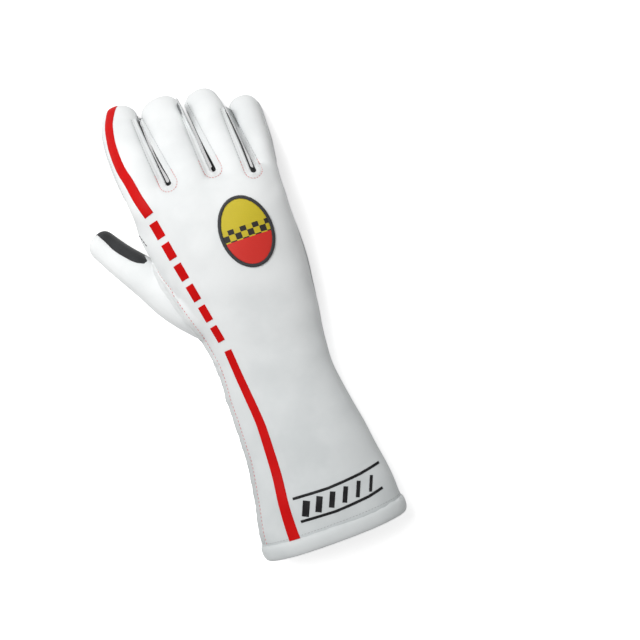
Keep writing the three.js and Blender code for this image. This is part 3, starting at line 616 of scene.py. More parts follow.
# %% Cutting
class Cloth:
    """A surface of quads and triangles with a normal at each point."""

    def __init__(self, points, normals, quads, triangles=None):
        self.points, self.normals, self.quads = points, normals, quads
        self.triangles = np.zeros((0, 3), int) if triangles is None else triangles

    def part(self, keep):
        """Only the faces that have a point to keep."""
        quads = self.quads[keep[self.quads].any(axis=1)]
        triangles = self.triangles[keep[self.triangles].any(axis=1)]
        used = np.unique(np.concatenate([quads.ravel(), triangles.ravel()]))
        new = np.full(len(self.points), -1)
        new[used] = np.arange(len(used))
        return Cloth(self.points[used], self.normals[used], new[quads], new[triangles])

    def cut(self, field):
        """What lies where the field is positive."""
        value = field(self.points)
        value = np.where(np.abs(value) < 1e-4, 1e-4, value)
        inner = value > 0
        quads, triangles = [], []
        cuts, extra = {}, []

        def cut_point(a, b):
            key = (min(a, b), max(a, b))
            if key not in cuts:
                t = value[key[0]] / (value[key[0]] - value[key[1]])
                cuts[key] = len(self.points) + len(extra)
                extra.append((key[0], key[1], t))
            return cuts[key]

        for faces in (self.quads, self.triangles):
            if not len(faces):
                continue
            whole = inner[faces].all(axis=1)
            crossed = inner[faces].any(axis=1) & ~whole
            (quads if faces.shape[1] == 4 else triangles).extend(faces[whole].tolist())
            for face in faces[crossed].tolist():
                ring = []
                for a, b in zip(face, face[1:] + face[:1]):
                    if inner[a]:
                        ring.append(a)
                    if inner[a] != inner[b]:
                        ring.append(cut_point(a, b))
                if len(ring) == 4:
                    quads.append(ring)
                else:
                    triangles.extend([ring[0], ring[i], ring[i + 1]] for i in range(1, len(ring) - 1))
        points, normals = self.points, self.normals
        if extra:
            first, second, share = (np.array(column) for column in zip(*extra))
            share = share[:, None]
            points = np.concatenate([points, points[first] * (1 - share) + points[second] * share])
            middle = normals[first] * (1 - share) + normals[second] * share
            normals = np.concatenate([normals, middle / np.linalg.norm(middle, axis=1, keepdims=True)])
        whole = Cloth(points, normals, np.array(quads, int).reshape(-1, 4),
                      np.array(triangles, int).reshape(-1, 3))
        return whole.part(np.ones(len(points), bool))

    def lifted(self, height):
        height = np.broadcast_to(height, len(self.points))
        return Cloth(self.points + self.normals * height[:, None], self.normals, self.quads, self.triangles)

    def object(self, name):
        return placed(name, self.points, [*self.quads.tolist(), *self.triangles.tolist()])


skin = Cloth(skin_points, skin_normals, skin_quads)


def divided(cloth):
    """The same surface with each face divided in four, and rounded."""
    mesh = mesh_from("divided", cloth.points, cloth.quads)
    obj = shown("divided", mesh)
    finer = obj.modifiers.new("divide", "SUBSURF")
    finer.levels = finer.render_levels = 1
    fine = evaluated_copy(obj, "fine")
    bpy.data.objects.remove(obj)
    points = mesh_points(fine)
    quads = np.array([list(face.vertices) for face in fine.polygons])
    bpy.data.meshes.remove(fine)
    return Cloth(points, normals_of(points, quads), quads)


fine_skin = divided(skin)
skin_tree = BVHTree.FromPolygons(skin.points.tolist(), skin.quads.tolist())
print("fine skin faces:", len(fine_skin.quads))

# %% [markdown]
# ## Finishes
# Several finishes share an effect, such as the knit's fine loops or soft mottling. Each effect is a
# node group that puts out a height or a tone, and every material places it with its own values.
# The Principled shader stays in the material, with its constants on its own sockets.

# %% Node helpers and shared effects
def put(tree, kind, settings=None, sockets=None):
    """Adds a node, sets it up, and links or sets its sockets."""
    made = tree.nodes.new(kind)
    for key, value in (settings or {}).items():
        setattr(made, key, value)
    for key, value in (sockets or {}).items():
        if isinstance(value, bpy.types.NodeSocket):
            tree.links.new(value, made.inputs[key])
        else:
            made.inputs[key].default_value = value
    return made


def effect(name, inputs, outputs, build):
    """A shader node group with named inputs and outputs."""
    tree = bpy.data.node_groups.new(name, "ShaderNodeTree")
    for socket, value in inputs.items():
        made = tree.interface.new_socket(socket, in_out="INPUT", socket_type="NodeSocketFloat")
        made.default_value = value
    for socket in outputs:
        tree.interface.new_socket(socket, in_out="OUTPUT", socket_type="NodeSocketFloat")
    given = tree.nodes.new("NodeGroupInput").outputs
    results = build(tree, given)
    out = tree.nodes.new("NodeGroupOutput")
    for socket, result in results.items():
        tree.links.new(result, out.inputs[socket])
    return tree


def maths(tree, operation, a, b=0.0):
    return put(tree, "ShaderNodeMath", {"operation": operation}, {0: a, 1: b}).outputs[0]


def mapped(tree, value, low, high, start=0.0, end=1.0, kind="LINEAR"):
    """A value read from start to end, as one from low to high."""
    return put(tree, "ShaderNodeMapRange", {"interpolation_type": kind},
               {"Value": value, "From Min": start, "From Max": end,
                "To Min": low, "To Max": high}).outputs["Result"]


def place_of(tree):
    return put(tree, "ShaderNodeTexCoord").outputs["Object"]


def noise(tree, scale, detail, roughness):
    return put(tree, "ShaderNodeTexNoise", None, {"Vector": place_of(tree), "Scale": scale, "Detail": detail,
                                                  "Roughness": roughness}).outputs["Fac"]


def knit_nodes(tree, given):
    spot = put(tree, "ShaderNodeSeparateXYZ", None, {0: place_of(tree)})
    slant = maths(tree, "ADD", spot.outputs["X"], maths(tree, "MULTIPLY", spot.outputs["Z"], 0.8))
    rise = maths(tree, "ADD", spot.outputs["Y"], maths(tree, "MULTIPLY", spot.outputs["Z"], 0.35))
    columns = maths(tree, "SINE", maths(tree, "DIVIDE", slant, given["Pitch"]))
    rows = maths(tree, "SINE", maths(tree, "DIVIDE", rise, given["Pitch"]))
    loops = maths(tree, "ABSOLUTE", maths(tree, "MULTIPLY", columns, rows))
    fuzz = noise(tree, 1400.0, 3.0, 0.6)
    height = maths(tree, "ADD", maths(tree, "MULTIPLY", loops, 0.6), maths(tree, "MULTIPLY", fuzz, 0.7))
    return {"Height": height, "Tone": fuzz}


def mottle_nodes(tree, given):
    return {"Tone": mapped(tree, noise(tree, given["Scale"], 4.0, 0.55), 0, 1, 0.36, 0.68, "SMOOTHSTEP")}


def nap_nodes(tree, given):
    fine = noise(tree, given["Scale"], 5.0, 0.7)
    pores = put(tree, "ShaderNodeTexVoronoi", {"feature": "DISTANCE_TO_EDGE"},
                {"Vector": place_of(tree), "Scale": 620.0}).outputs["Distance"]
    height = maths(tree, "ADD", fine, maths(tree, "MULTIPLY", pores, 0.5))
    return {"Height": height, "Tone": fine}


knit = effect("knit loops", {"Pitch": 0.00011}, ["Height", "Tone"], knit_nodes)
mottle = effect("soft mottling", {"Scale": 28.0}, ["Tone"], mottle_nodes)
nap = effect("suede nap", {"Scale": 900.0}, ["Height", "Tone"], nap_nodes)
print("shared effects:", [group.name for group in (knit, mottle, nap)])

# %% [markdown]
# ## Cloth, print, suede and silicone
# The white knit is matt with a soft sheen. Painted shade makes it greyer towards the cuff, in soft
# patches and beside the seams and slits. Prints are thin films through which the knit still shows.
# Suede drinks light, and silicone throws it back.

# %% Materials
def blank(name):
    material = bpy.data.materials.new(name)
    material.use_nodes = True
    tree = material.node_tree
    shader = tree.nodes["Principled BSDF"]
    return material, tree, shader


def mixed(tree, share, first, second):
    """A colour between two, by a share that changes over the surface."""
    node = put(tree, "ShaderNodeMix", {"data_type": "RGBA"})
    for key, value in ((0, share), (6, first), (7, second)):
        if isinstance(value, bpy.types.NodeSocket):
            tree.links.new(value, node.inputs[key])
        else:
            node.inputs[key].default_value = value if key == 0 else (*value, 1.0)
    return node.outputs[2]


def finished(tree, shader, colour, rough, height, strength, distance):
    """Links a colour and a roughness to the shader, and a height as its bump."""
    bump = put(tree, "ShaderNodeBump", None, {"Height": height, "Strength": strength, "Distance": distance})
    for key, value in (("Base Color", colour), ("Roughness", rough), ("Normal", bump.outputs["Normal"])):
        tree.links.new(value, shader.inputs[key])


def used(tree, group, **values):
    return put(tree, "ShaderNodeGroup", {"node_tree": group}, values).outputs


def cloth_material(name, light, shade_colour, bump=0.22):
    """A matt knit with painted shade: greyer towards the cuff, in soft patches and beside its seams."""
    material, tree, shader = blank(name)
    spot = put(tree, "ShaderNodeSeparateXYZ", None, {0: place_of(tree)})
    # Painted shade: down greys the knit towards the cuff, the mottle in soft patches, and the seam attribute
    # beside seams, slits and the hem.
    down = mapped(tree, spot.outputs["Y"], 0, 1, 0.07, -0.14, "SMOOTHSTEP")
    shade_patches = used(tree, mottle, Scale=26.0)["Tone"]
    seam = put(tree, "ShaderNodeAttribute", {"attribute_name": "seam"}).outputs["Fac"]
    share = maths(tree, "ADD", maths(tree, "MULTIPLY", down, 0.55), maths(tree, "MULTIPLY", shade_patches, 0.2))
    share = maths(tree, "MINIMUM", maths(tree, "ADD", share, maths(tree, "MULTIPLY", seam, 0.4)), 1.0)
    loops = used(tree, knit)
    shader.inputs["Sheen Weight"].default_value = 0.3
    shader.inputs["Sheen Roughness"].default_value = 0.45
    shader.inputs["Specular IOR Level"].default_value = 0.3
    finished(tree, shader, mixed(tree, share, light, shade_colour), mapped(tree, loops["Tone"], 0.72, 0.92),
             loops["Height"], bump, 0.00025)
    return material


def print_material(name, colour, worn):
    """A printed film over the knit, with the knit's loops showing through and faint wear."""
    material, tree, shader = blank(name)
    loops = used(tree, knit)
    share = maths(tree, "MULTIPLY", used(tree, mottle, Scale=160.0)["Tone"], 0.35)
    shader.inputs["Specular IOR Level"].default_value = 0.12
    finished(tree, shader, mixed(tree, share, colour, worn), mapped(tree, loops["Tone"], 0.42, 0.62),
             loops["Height"], 0.2, 0.0002)
    return material


def suede_material(name):
    material, tree, shader = blank(name)
    pile = used(tree, nap)
    brushed = used(tree, mottle, Scale=60.0)["Tone"]
    share = maths(tree, "ADD", maths(tree, "MULTIPLY", pile["Tone"], 0.5),
                  maths(tree, "MULTIPLY", brushed, 0.4))
    shader.inputs["Sheen Weight"].default_value = 0.2
    finished(tree, shader, mixed(tree, share, (0.008, 0.0085, 0.0095), (0.04, 0.042, 0.045)),
             mapped(tree, pile["Tone"], 0.8, 0.98), pile["Height"], 0.5, 0.0004)
    return material


def silicone_material(name):
    """Glossy printed silicone with a run of fine moulded grooves."""
    material, tree, shader = blank(name)
    spot = put(tree, "ShaderNodeSeparateXYZ", None, {0: place_of(tree)})
    wave = maths(tree, "SINE", maths(tree, "MULTIPLY", spot.outputs["Y"], 3400.0))
    grooves = mapped(tree, wave, 0, 1, 0.55, 0.95)
    smear = used(tree, mottle, Scale=120.0)["Tone"]
    height = maths(tree, "SUBTRACT", maths(tree, "MULTIPLY", smear, 0.25),
                   maths(tree, "MULTIPLY", grooves, 0.5))
    finished(tree, shader, mixed(tree, smear, (0.010, 0.010, 0.011), (0.022, 0.022, 0.024)),
             mapped(tree, smear, 0.14, 0.3), height, 0.35, 0.0003)
    return material


def thread_material(name, colour, gleam):
    """Twisted sewing thread."""
    material, tree, shader = blank(name)
    fibres = used(tree, nap, Scale=2600.0)
    finished(tree, shader, mixed(tree, fibres["Tone"], colour, gleam),
             mapped(tree, fibres["Tone"], 0.45, 0.75), fibres["Height"], 0.3, 0.0001)
    return material


# Each knit's second colour is painted shade, which it takes towards the cuff, in patches and beside seams.
WHITE, SHADE_GREY = (0.8, 0.815, 0.815), (0.5, 0.53, 0.535)
white_cloth = cloth_material("white knit", WHITE, SHADE_GREY)
edge_cloth = cloth_material("raw white edge", (0.77, 0.785, 0.785), (0.46, 0.485, 0.49), bump=0.6)
elastic_cloth = cloth_material("gathered elastic", (0.78, 0.79, 0.795), (0.5, 0.52, 0.53), bump=0.4)
red_print = print_material("red print", (0.56, 0.001, 0.001), (0.44, 0.001, 0.002))
black_print = print_material("black print", (0.012, 0.012, 0.013), (0.04, 0.04, 0.042))
suede = suede_material("black suede")
silicone = silicone_material("black silicone")
red_thread = thread_material("red thread", (0.5, 0.015, 0.02), (0.72, 0.06, 0.06))
white_thread = thread_material("white thread", (0.66, 0.68, 0.69), (0.9, 0.91, 0.92))
grey_thread = thread_material("grey thread", (0.2, 0.21, 0.215), (0.4, 0.41, 0.42))
black_thread = thread_material("black thread", (0.012, 0.012, 0.014), (0.06, 0.06, 0.065))
print("materials:", len(bpy.data.materials))

# %% [markdown]
# ## Dressing a piece
# Every finished piece gets its material, rides on the glove's one body, and stands for the CAD
# nodes that it covers. A cut panel is an open sheet, so Solidify gives it the cloth's thickness.

# %% Dressing
def dressed(obj, material, slot, *nodes, thick=0.0):
    obj.data.materials.clear()
    obj.data.materials.append(material)
    if thick:
        wall = obj.modifiers.new("cloth thickness", "SOLIDIFY")
        wall.thickness = thick * MM
        wall.offset = -1
    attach(obj, "root")
    if nodes:
        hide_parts(*nodes)


def seam_shade(p):
    """How much painted shade a place gets beside the side seam, the slits and the hem, from 0 to 1."""
    away = np.abs(np.where(over_sheet(p) > 0, from_line(flowing(SIDE_SEAM), p)[0], 99.0))
    for name in SLITS:
        away = np.minimum(away, np.abs(inside(slit_outline(name), p)) + 0.6)
    away = np.minimum(away, np.abs(mouth_field(p) - 0.5))
    return np.exp(-away / 2.2)


def panel(name, fields, material, slot, *nodes, thick=1.3):
    cloth = skin
    for field in fields:
        cloth = cloth.cut(field)
    obj = cloth.object(name)
    # The seam attribute holds painted shade beside the side seam, the slits and the hem.
    seam = obj.data.attributes.new("seam", "FLOAT", "POINT")
    seam.data.foreach_set("value", seam_shade(cloth.points))
    dressed(obj, material, slot, *nodes, thick=thick)
    print(name, len(obj.data.polygons), "faces")


# %% Panels of knit and suede
not_thumb = opposite(thumb_field)


def deep_field(name):
    """Positive on the walls that show between a slit's white folded edges, which get black suede: partly the
    palm's suede, partly painted shade on the white fourchette.
    """
    near, far = slit_outline(name, 0.42), slit_outline(name, 0.26)
    narrow = [far[0], *near[1:-1], far[-1]]
    return lambda p: inside(narrow, p)


for name in SLITS:
    panel(f"fourchette_{name}_cloth", [slit_field(name), opposite(deep_field(name))],
          white_cloth, "white_fabric", f"fourchette_{name}")
    # Painted shade: black suede covers the slit's deep walls, partly the palm's own suede, partly where the
    # white fourchette lies in shade.
    panel(f"fourchette_{name}_suede_and_shade", [slit_field(name), deep_field(name)], suede, "suede")
not_slits = [opposite(slit_field(name)) for name in SLITS]
panel("back_cloth", [mouth_field, over_sheet, not_thumb, *not_slits],
      white_cloth, "white_fabric", "back_panel")
panel("palm_suede", [palm_end_field, opposite(over_sheet), not_thumb, *not_slits],
      suede, "suede", "palm_panel")
panel("cuff_palm_cloth", [mouth_field, opposite(over_sheet), lambda p: ELASTIC_Y + 0.6 - p[:, 1]],
      white_cloth, "white_fabric", "cuff_palm")
panel("thumb_back_cloth", [thumb_field, opposite(inner_thumb_field)],
      white_cloth, "white_fabric", "thumb_back")
panel("thumb_front_suede", [thumb_field, inner_thumb_field], suede, "suede", "thumb_front")

# %% [markdown]
# ## Raised outside seams
# Where two panels meet on this glove, their edges stand up outside, so nothing rubs the driver's
# fingers. Such an edge is a thin bar that follows the seam. A plan line is laid on the skin, and a
# small profile is swept along it, standing on the skin's own normal.

# %% Laying lines on the skin
def eased(values, rounds):
    """Smooths a run of values in place, and keeps both its ends."""
    for _ in range(rounds):
        values[1:-1] = (values[:-2] + 2 * values[1:-1] + values[2:]) / 4


def laid(points, rounds=3):
    """The nearest places on the skin to some points, with the skin's normals, both smoothed."""
    found = [skin_tree.find_nearest(Vector(point))[:2] for point in points]
    spots, ups = np.array([f[0] for f in found]), np.array([f[1] for f in found])
    eased(spots, rounds)
    eased(ups, rounds)
    return spots, ups / np.linalg.norm(ups, axis=1, keepdims=True)


def draped(line, face=1, rounds=3):
    """A plan line dropped on the glove's upper side, or raised to its under side."""
    hits = []
    for x, y in line:
        hit = skin_tree.ray_cast(Vector((x, y, 100.0 * face)), Vector((0, 0, -face)))[0]
        if hit is not None:
            hits.append(hit)
    return laid(hits, rounds)


def even(line, step):
    """The same line with a point at every step. Columns after the third aren't part of its length."""
    line = np.array(line, float)
    length = np.concatenate([[0], np.cumsum(np.linalg.norm(np.diff(line[:, :3], axis=0), axis=1))])
    at = np.linspace(0, length[-1], max(int(length[-1] / step), 2) + 1)
    return np.stack([np.interp(at, length, line[:, axis]) for axis in range(line.shape[1])], axis=-1)


def shifted(line, amount):
    """A plan line moved sideways, to its left where the amount is positive."""
    line = np.array(line, float)
    way = np.gradient(line, axis=0)
    way /= np.linalg.norm(way, axis=1, keepdims=True)
    return line + amount * np.stack([-way[:, 1], way[:, 0]], axis=-1)


def swept(name, spots, ups, profile, width, height=1.0, taper=4):
    """A closed bar along a line. The profile is how far across and how far up, in millimetres."""
    profile = np.array(profile, float)
    way = np.gradient(spots, axis=0)
    way /= np.linalg.norm(way, axis=1, keepdims=True)
    across = np.cross(way, ups)
    across /= np.linalg.norm(across, axis=1, keepdims=True)
    up = np.cross(across, way)
    count = len(spots)
    ends = np.minimum(np.arange(count), np.arange(count)[::-1])
    small = np.clip((ends + 0.6) / taper, 0, 1) ** 0.5
    wide = np.broadcast_to(width, count) * small
    high = np.broadcast_to(height, count) * small
    rings = (spots[:, None] + across[:, None] * (profile[None, :, :1] * wide[:, None, None])
             + up[:, None] * (profile[None, :, 1:] * high[:, None, None]))
    return placed(name, rings, tube_faces(count, len(profile)))


print("skin under the patch:", np.round(draped([(16, 213)] * 3)[0][0], 1))

# %% Seam edges
# Share of the slit's half width, and height over the skin. The edge that looks into the slit has its
# own rows, which start from the band's edge.
BAND = [(1.12, -0.5), (1.06, 0.05), (0.98, 0.35), (0.86, 0.55), (0.72, 0.65), (0.6, 0.75), (0.48, 0.85)]
BAND_EDGE = [(0.05, 0.75), (0.0, 0.3), (0.0, -2.4)]
BAND_HINGE, BAND_FALL, SLIT_STEP = 0.72, 0.3, 1.1
RIDGE_PROFILE = [(1.9, -0.6), (1.85, 0.2), (1.2, 0.6), (0.6, 0.75), (0.42, 1.35), (0, 1.15), (-0.42, 1.35),
                 (-0.6, 0.75), (-1.2, 0.6), (-1.85, 0.2), (-1.9, -0.6)]


def parting_angle(y, side):
    """The angle at which the sheet leaves the hand on its thumb side, -1, or its far side, 1."""
    angle = np.linspace(np.pi / 2, np.pi * 3 / 2 if side < 0 else -np.pi / 2, 400)
    over = over_sheet(hand_points(y, angle)) > 0
    return angle[np.argmin(over)]


def parting_points(places, side):
    return np.array([hand_points(y, parting_angle(y, side)) for y in places])


def digit_side_points(name, side, start):
    """A line along a digit's side and round to the middle of its tip."""
    middle, forward, sideways, up, width, thick = digit_frames(name, np.linspace(start, 1, 40))
    run = middle + sideways * (side * width / 2)[:, None]
    turn = np.radians(np.linspace(6, 66, 14))
    reach = width[-1] * TIP_REACH
    tip = (middle[-1] + sideways[-1] * (side * width[-1] / 2 * np.cos(turn) ** TIP_SQUARE)[:, None]
           + forward[-1] * (reach * np.sin(turn))[:, None])
    return even(np.concatenate([run, tip]), 1.2)


side_top = draped(even(flowing([(-54.0, 217), *SIDE_SEAM[1:]]), 1.2))[0]
side_low = parting_points(np.arange(141.0, MOUTH_Y + 2, -1.2), -1)
side_spots, side_ups = laid(np.concatenate([side_top, side_low]), rounds=8)
pucker = np.convolve(rng.normal(0, 1, len(side_spots)), np.ones(3) / 3, mode="same")
side_ridge = swept("side_seam_edge", side_spots, side_ups, RIDGE_PROFILE, width=1.25 + 0.12 * pucker,
                   height=1.15 + 0.22 * pucker)
dressed(side_ridge, edge_cloth, "white_seam", "side_seam")
RIDGES = [
    # name, points, rounds of easing, width
    ("outer", parting_points(np.arange(214.0, 157.0, -1.2), 1), 6, 1.0),
    ("index", digit_side_points("index", -1, 0.36), 5, 0.85),
    ("little", digit_side_points("little", 1, 0.36), 5, 0.85),
]
ridge_spots = {}
for name, points, rounds, width in RIDGES:
    ridge_spots[name], ups = laid(points, rounds)
    ridge = swept(f"{name}_seam_edge", ridge_spots[name], ups, RIDGE_PROFILE, width=width, taper=16)
    dressed(ridge, edge_cloth, "white_seam", f"{name}_seam")


def slit_lines(name, longer=2.0):
    """A slit's centre and outer lines, point by point round the crotch, and the share of the way out."""
    x, y, far_x, far_y, half, far_half = SLITS[name]
    share = np.linspace(1, 0, int((far_y - y) / SLIT_STEP), endpoint=False)
    centre = np.stack([x + (far_x - x) * share, y + (far_y + longer - y) * share], axis=-1)
    wide = np.stack([half + (far_half - half) * share, 0 * share], axis=-1)
    turn = np.radians(np.arange(180, 361, 10))
    arc = np.array([x, y]) + half * np.stack([np.cos(turn), np.sin(turn)], axis=-1)
    middle = np.concatenate([centre, np.broadcast_to([x, y], arc.shape), centre[::-1]])
    return middle, np.concatenate([centre - wide, arc, (centre + wide)[::-1]]), np.concatenate(
        [share, np.zeros(len(turn)), share[::-1]])


def skin_height(places):
    """The glove's height at each place of a row, held level where a place is off the glove."""
    hits = [skin_tree.ray_cast(Vector((x, y, 100.0)), Vector((0, 0, -1)))[0] for x, y in places]
    met = [i for i, hit in enumerate(hits) if hit is not None]
    return np.interp(np.arange(len(hits)), met, [hits[i].z for i in met])


def seam_band(name):
    """The folded edge round a slit: it lies on the back of the glove and stands free over the slit."""
    middle, outer, share = slit_lines(name)
    half = np.linalg.norm(outer - middle, axis=1)
    edge = 0.34 - 0.12 * ramp(share, 0, 0.5)
    hinge = skin_height(middle + (outer - middle) * BAND_HINGE)
    fade = 1 - ramp(share, 0.86, 1.0)
    rings = []
    for at, lift in [*BAND, *((edge + more, lift) for more, lift in BAND_EDGE)]:
        at = np.broadcast_to(at, len(share))
        place = middle + (outer - middle) * at[:, None]
        z = np.maximum(skin_height(place), hinge - BAND_FALL * (BAND_HINGE - at) * half)
        z = np.where(at >= BAND_HINGE, skin_height(place), z)
        eased(z, 6)
        rings.append(np.column_stack([place, z + (lift * fade if lift > 0 else lift)]))
    rings = np.stack(rings, axis=1)
    return placed(f"seam_lip_{name}_edge", rings, tube_faces(*rings.shape[:2]))


slit_runs = {}
for name in SLITS:
    dressed(seam_band(name), edge_cloth, "white_seam", f"seam_lip_{name}")
    middle, outer, share = slit_lines(name, longer=1.0)
    slit_runs[name] = (*draped(middle + (outer - middle) * 1.15, rounds=4), share)
PIPING_IN = -1.4
PIPING_PROFILE = [(1, -0.5), (0.95, 0.3), (0.55, 0.75), (0, 0.9), (-0.55, 0.75), (-0.95, 0.3), (-1, -0.5)]
piping_line = even(shifted(flowing(PALM_ARC[:8]), PIPING_IN), 1.2)
piping_spots, piping_ups = draped(piping_line, face=-1, rounds=4)
piping = swept("thumb_piping_roll", piping_spots, piping_ups, PIPING_PROFILE, width=1.1)
dressed(piping, edge_cloth, "white_seam", "thumb_piping")
print("side seam points:", len(side_spots), "piping points:", len(piping_spots))

# %% [markdown]
# ## Padded rolls
# The hem and the wrist's welt are tubes of the same knit with wadding inside. A closed tube is sewn
# down along its seam and pumped up with Blender's cloth. Wadding pushes out where nothing holds it,
# so the roll swells between its seams. The simulation works on a model ten times as large as metres
# would make it, because cloth settings are meant for shirts and flags, not for a roll 6 mm thick.

# %% Padding
CLOTH_SCALE = 0.1
CLOTH_FRAMES = 20


def puffed(points, faces, pinned, pressure, cap, spare):
    """Pumps a closed form up by its pressure, with no point moved further than cap millimetres."""
    obj = shown("padding", mesh_from("padding", points * CLOTH_SCALE, faces))
    group = obj.vertex_groups.new(name="sewn")
    for index in np.nonzero(pinned > 0.01)[0]:
        group.add([int(index)], float(pinned[index]), "REPLACE")
    cloth = obj.modifiers.new("cloth", "CLOTH")
    cloth.settings.quality = 6
    cloth.settings.mass = 0.2
    cloth.settings.use_pressure = True
    cloth.settings.uniform_pressure_force = pressure
    cloth.settings.vertex_group_mass = "sewn"
    cloth.settings.shrink_min = -spare
    cloth.settings.effector_weights.gravity = 0
    cloth.point_cache.frame_start = 1
    cloth.point_cache.frame_end = CLOTH_FRAMES
    for frame_number in range(1, CLOTH_FRAMES + 1):
        bpy.context.scene.frame_set(frame_number)
    swollen = evaluated_copy(obj, "swollen")
    moved = mesh_points(swollen) / CLOTH_SCALE - points
    bpy.data.objects.remove(obj)
    bpy.data.meshes.remove(swollen)
    bpy.context.scene.frame_set(1)
    length = np.maximum(np.linalg.norm(moved, axis=1, keepdims=True), 1e-6)
    moved *= cap * np.tanh(length / cap) / length
    print("padding moved by up to", np.linalg.norm(moved, axis=1).max().round(2), "mm")
    return points + moved


def ring_faces(rings, around):
    """Faces of a tube whose last ring joins its first."""
    i, j = np.meshgrid(np.arange(rings), np.arange(around), indexing="ij")
    i2, j2 = (i + 1) % rings, (j + 1) % around
    corners = [i * around + j, i * around + j2, i2 * around + j2, i2 * around + j]
    return np.stack(corners, axis=-1).reshape(-1, 4)


def padded_object(name, points, faces, material, slot, node):
    points = points.copy()
    points[:, 2] = np.maximum(points[:, 2], 0.0)
    obj = placed(name, points, faces)
    finer = obj.modifiers.new("round", "SUBSURF")
    finer.levels = finer.render_levels = 1
    mesh = evaluated_copy(obj, name)
    obj.modifiers.clear()
    obj.data = mesh
    lowest = min(vertex.co.z for vertex in mesh.vertices)
    for vertex in mesh.vertices:
        vertex.co.z = max(vertex.co.z, 0.0)
    dressed(obj, material, slot, node)
    print(name, len(mesh.polygons), "faces, lowest point", round(lowest / MM, 2))


# %% The hem
HEM_START, HEM_WIDTH, HEM_OUT, HEM_IN, HEM_TUCK = -1.2, 12.0, 2.2, 3.0, 0.7
hem_steps, hem_sides = 240, 26
hem_angle = np.linspace(0, 2 * np.pi, hem_steps, endpoint=False)
turn = np.linspace(0, 2 * np.pi, hem_sides, endpoint=False)
down = (1 - np.cos(turn)) / 2
out = np.sin(turn) * (1 - 0.35 * np.cos(turn) ** 6)
hem_points = np.zeros((hem_steps, hem_sides, 3))
for side in range(hem_sides):
    grow = out[side] * (HEM_OUT if out[side] > 0 else HEM_IN) - HEM_TUCK * (1 - ramp(down[side], 0, 0.25))
    ring = hand_points(np.full(hem_steps, MOUTH_Y), hem_angle, grow, floor=0.0)
    ring[:, 1] -= HEM_START + down[side] * HEM_WIDTH
    hem_points[:, side] = ring
sewn = np.broadcast_to(np.clip(1 - down * 7, 0, 1), (hem_steps, hem_sides)).ravel()
hem_faces = ring_faces(hem_steps, hem_sides)
hem_points = puffed(hem_points.reshape(-1, 3), hem_faces, sewn, pressure=2.5, cap=0.9, spare=0.03)
padded_object("hem_roll", hem_points, hem_faces, white_cloth, "padded_trim", "hem")

# %% The wrist's welt
def under_wrist(count, short):
    """Angles from one side seam to the other, under the wrist, and the welt's place at each."""
    start = parting_angle(WELT_Y - 10, -1) + short
    end = parting_angle(WELT_Y - 10, 1) + 2 * np.pi - short
    angle = np.linspace(start, end, count)
    return angle, welt_y(hand_points(WELT_Y, angle)[:, 0])


welt_steps, welt_sides = 130, 20
welt_angle, welt_middle = under_wrist(welt_steps, 0.16)
ends = np.minimum(np.arange(welt_steps), np.arange(welt_steps)[::-1])
swollen = np.clip((ends + 1.0) / 22, 0, 1) ** 0.6
turn = np.linspace(0, 2 * np.pi, welt_sides, endpoint=False)
welt_points = np.zeros((welt_steps, welt_sides, 3))
for side in range(welt_sides):
    rise = -0.6 + swollen * (1.5 + 1.9 * np.sin(turn[side]))
    for step in range(welt_steps):
        y = welt_middle[step] + np.cos(turn[side]) * WELT_HALF
        welt_points[step, side] = hand_points(y, welt_angle[step], rise[step], floor=0.0)
welt_faces = tube_faces(welt_steps, welt_sides)
sewn = np.broadcast_to(np.clip(-np.sin(turn) * 3, 0, 1), (welt_steps, welt_sides)).ravel()
welt_points = puffed(welt_points.reshape(-1, 3), welt_faces, sewn, pressure=2.5, cap=0.6, spare=0.04)
padded_object("wrist_welt_roll", welt_points, welt_faces, white_cloth, "padded_trim", "wrist_welt")

# %% [markdown]
# ## Gathered elastic
# Elastic threads run round the wrist in rows and draw the cloth into small pleats. Each row pinches
# the pleats flat, and they puff between the rows. That is a rule, so the strip is one grid of points
# whose depth is a wave along the wrist, made weaker at each row.

# %% Elastic
PLEATS, ROWS = 46, 6
PLEAT_DEEP, PLEAT_MIDDLE = 0.62, -1.15
elastic_angle, elastic_top = under_wrist(PLEATS * 8 + 1, 0.015)
elastic_rows = np.linspace(0, 1, ROWS * 8 + 1)
wave_at = np.linspace(0, PLEATS * 2 * np.pi, len(elastic_angle))
lean = rng.normal(0, 0.35, PLEATS + 1)[(np.arange(len(elastic_angle)) // 8).clip(0, PLEATS)]
elastic_points = np.zeros((len(elastic_rows), len(elastic_angle), 3))
for row, share in enumerate(elastic_rows):
    puff = 0.35 + 0.65 * abs(math.sin(math.pi * ROWS * share))
    wave = np.sin(wave_at + 0.5 * math.sin(5 * share + 1) + lean * math.sin(math.pi * share))
    y = ELASTIC_Y + (elastic_top - WELT_HALF + 1.4 - ELASTIC_Y) * share
    grow = PLEAT_MIDDLE + PLEAT_DEEP * wave * puff + 0.35 * (puff - 0.35)
    for step in range(len(elastic_angle)):
        elastic_points[row, step] = hand_points(y[step], elastic_angle[step], grow[step], floor=0.0)
grid_faces = [[i * len(elastic_angle) + j, i * len(elastic_angle) + j + 1,
               (i + 1) * len(elastic_angle) + j + 1, (i + 1) * len(elastic_angle) + j]
              for i in range(len(elastic_rows) - 1) for j in range(len(elastic_angle) - 1)]
elastic_strip = placed("elastic_strip", elastic_points, grid_faces)
dressed(elastic_strip, elastic_cloth, "elastic", "wrist_elastic", thick=1.0)
print("elastic faces:", len(grid_faces))

# %% [markdown]
# ## Prints and grips laid on the cloth
# A print is a film 0.3 mm thick, and a silicone grip stands 0.8 mm proud with rounded edges. Each is
# cut from the same skin with a plan outline, lifted, and given its thickness, so it follows every
# swell of the cloth below. Straight edges are cut one after another, which keeps the corners crisp.

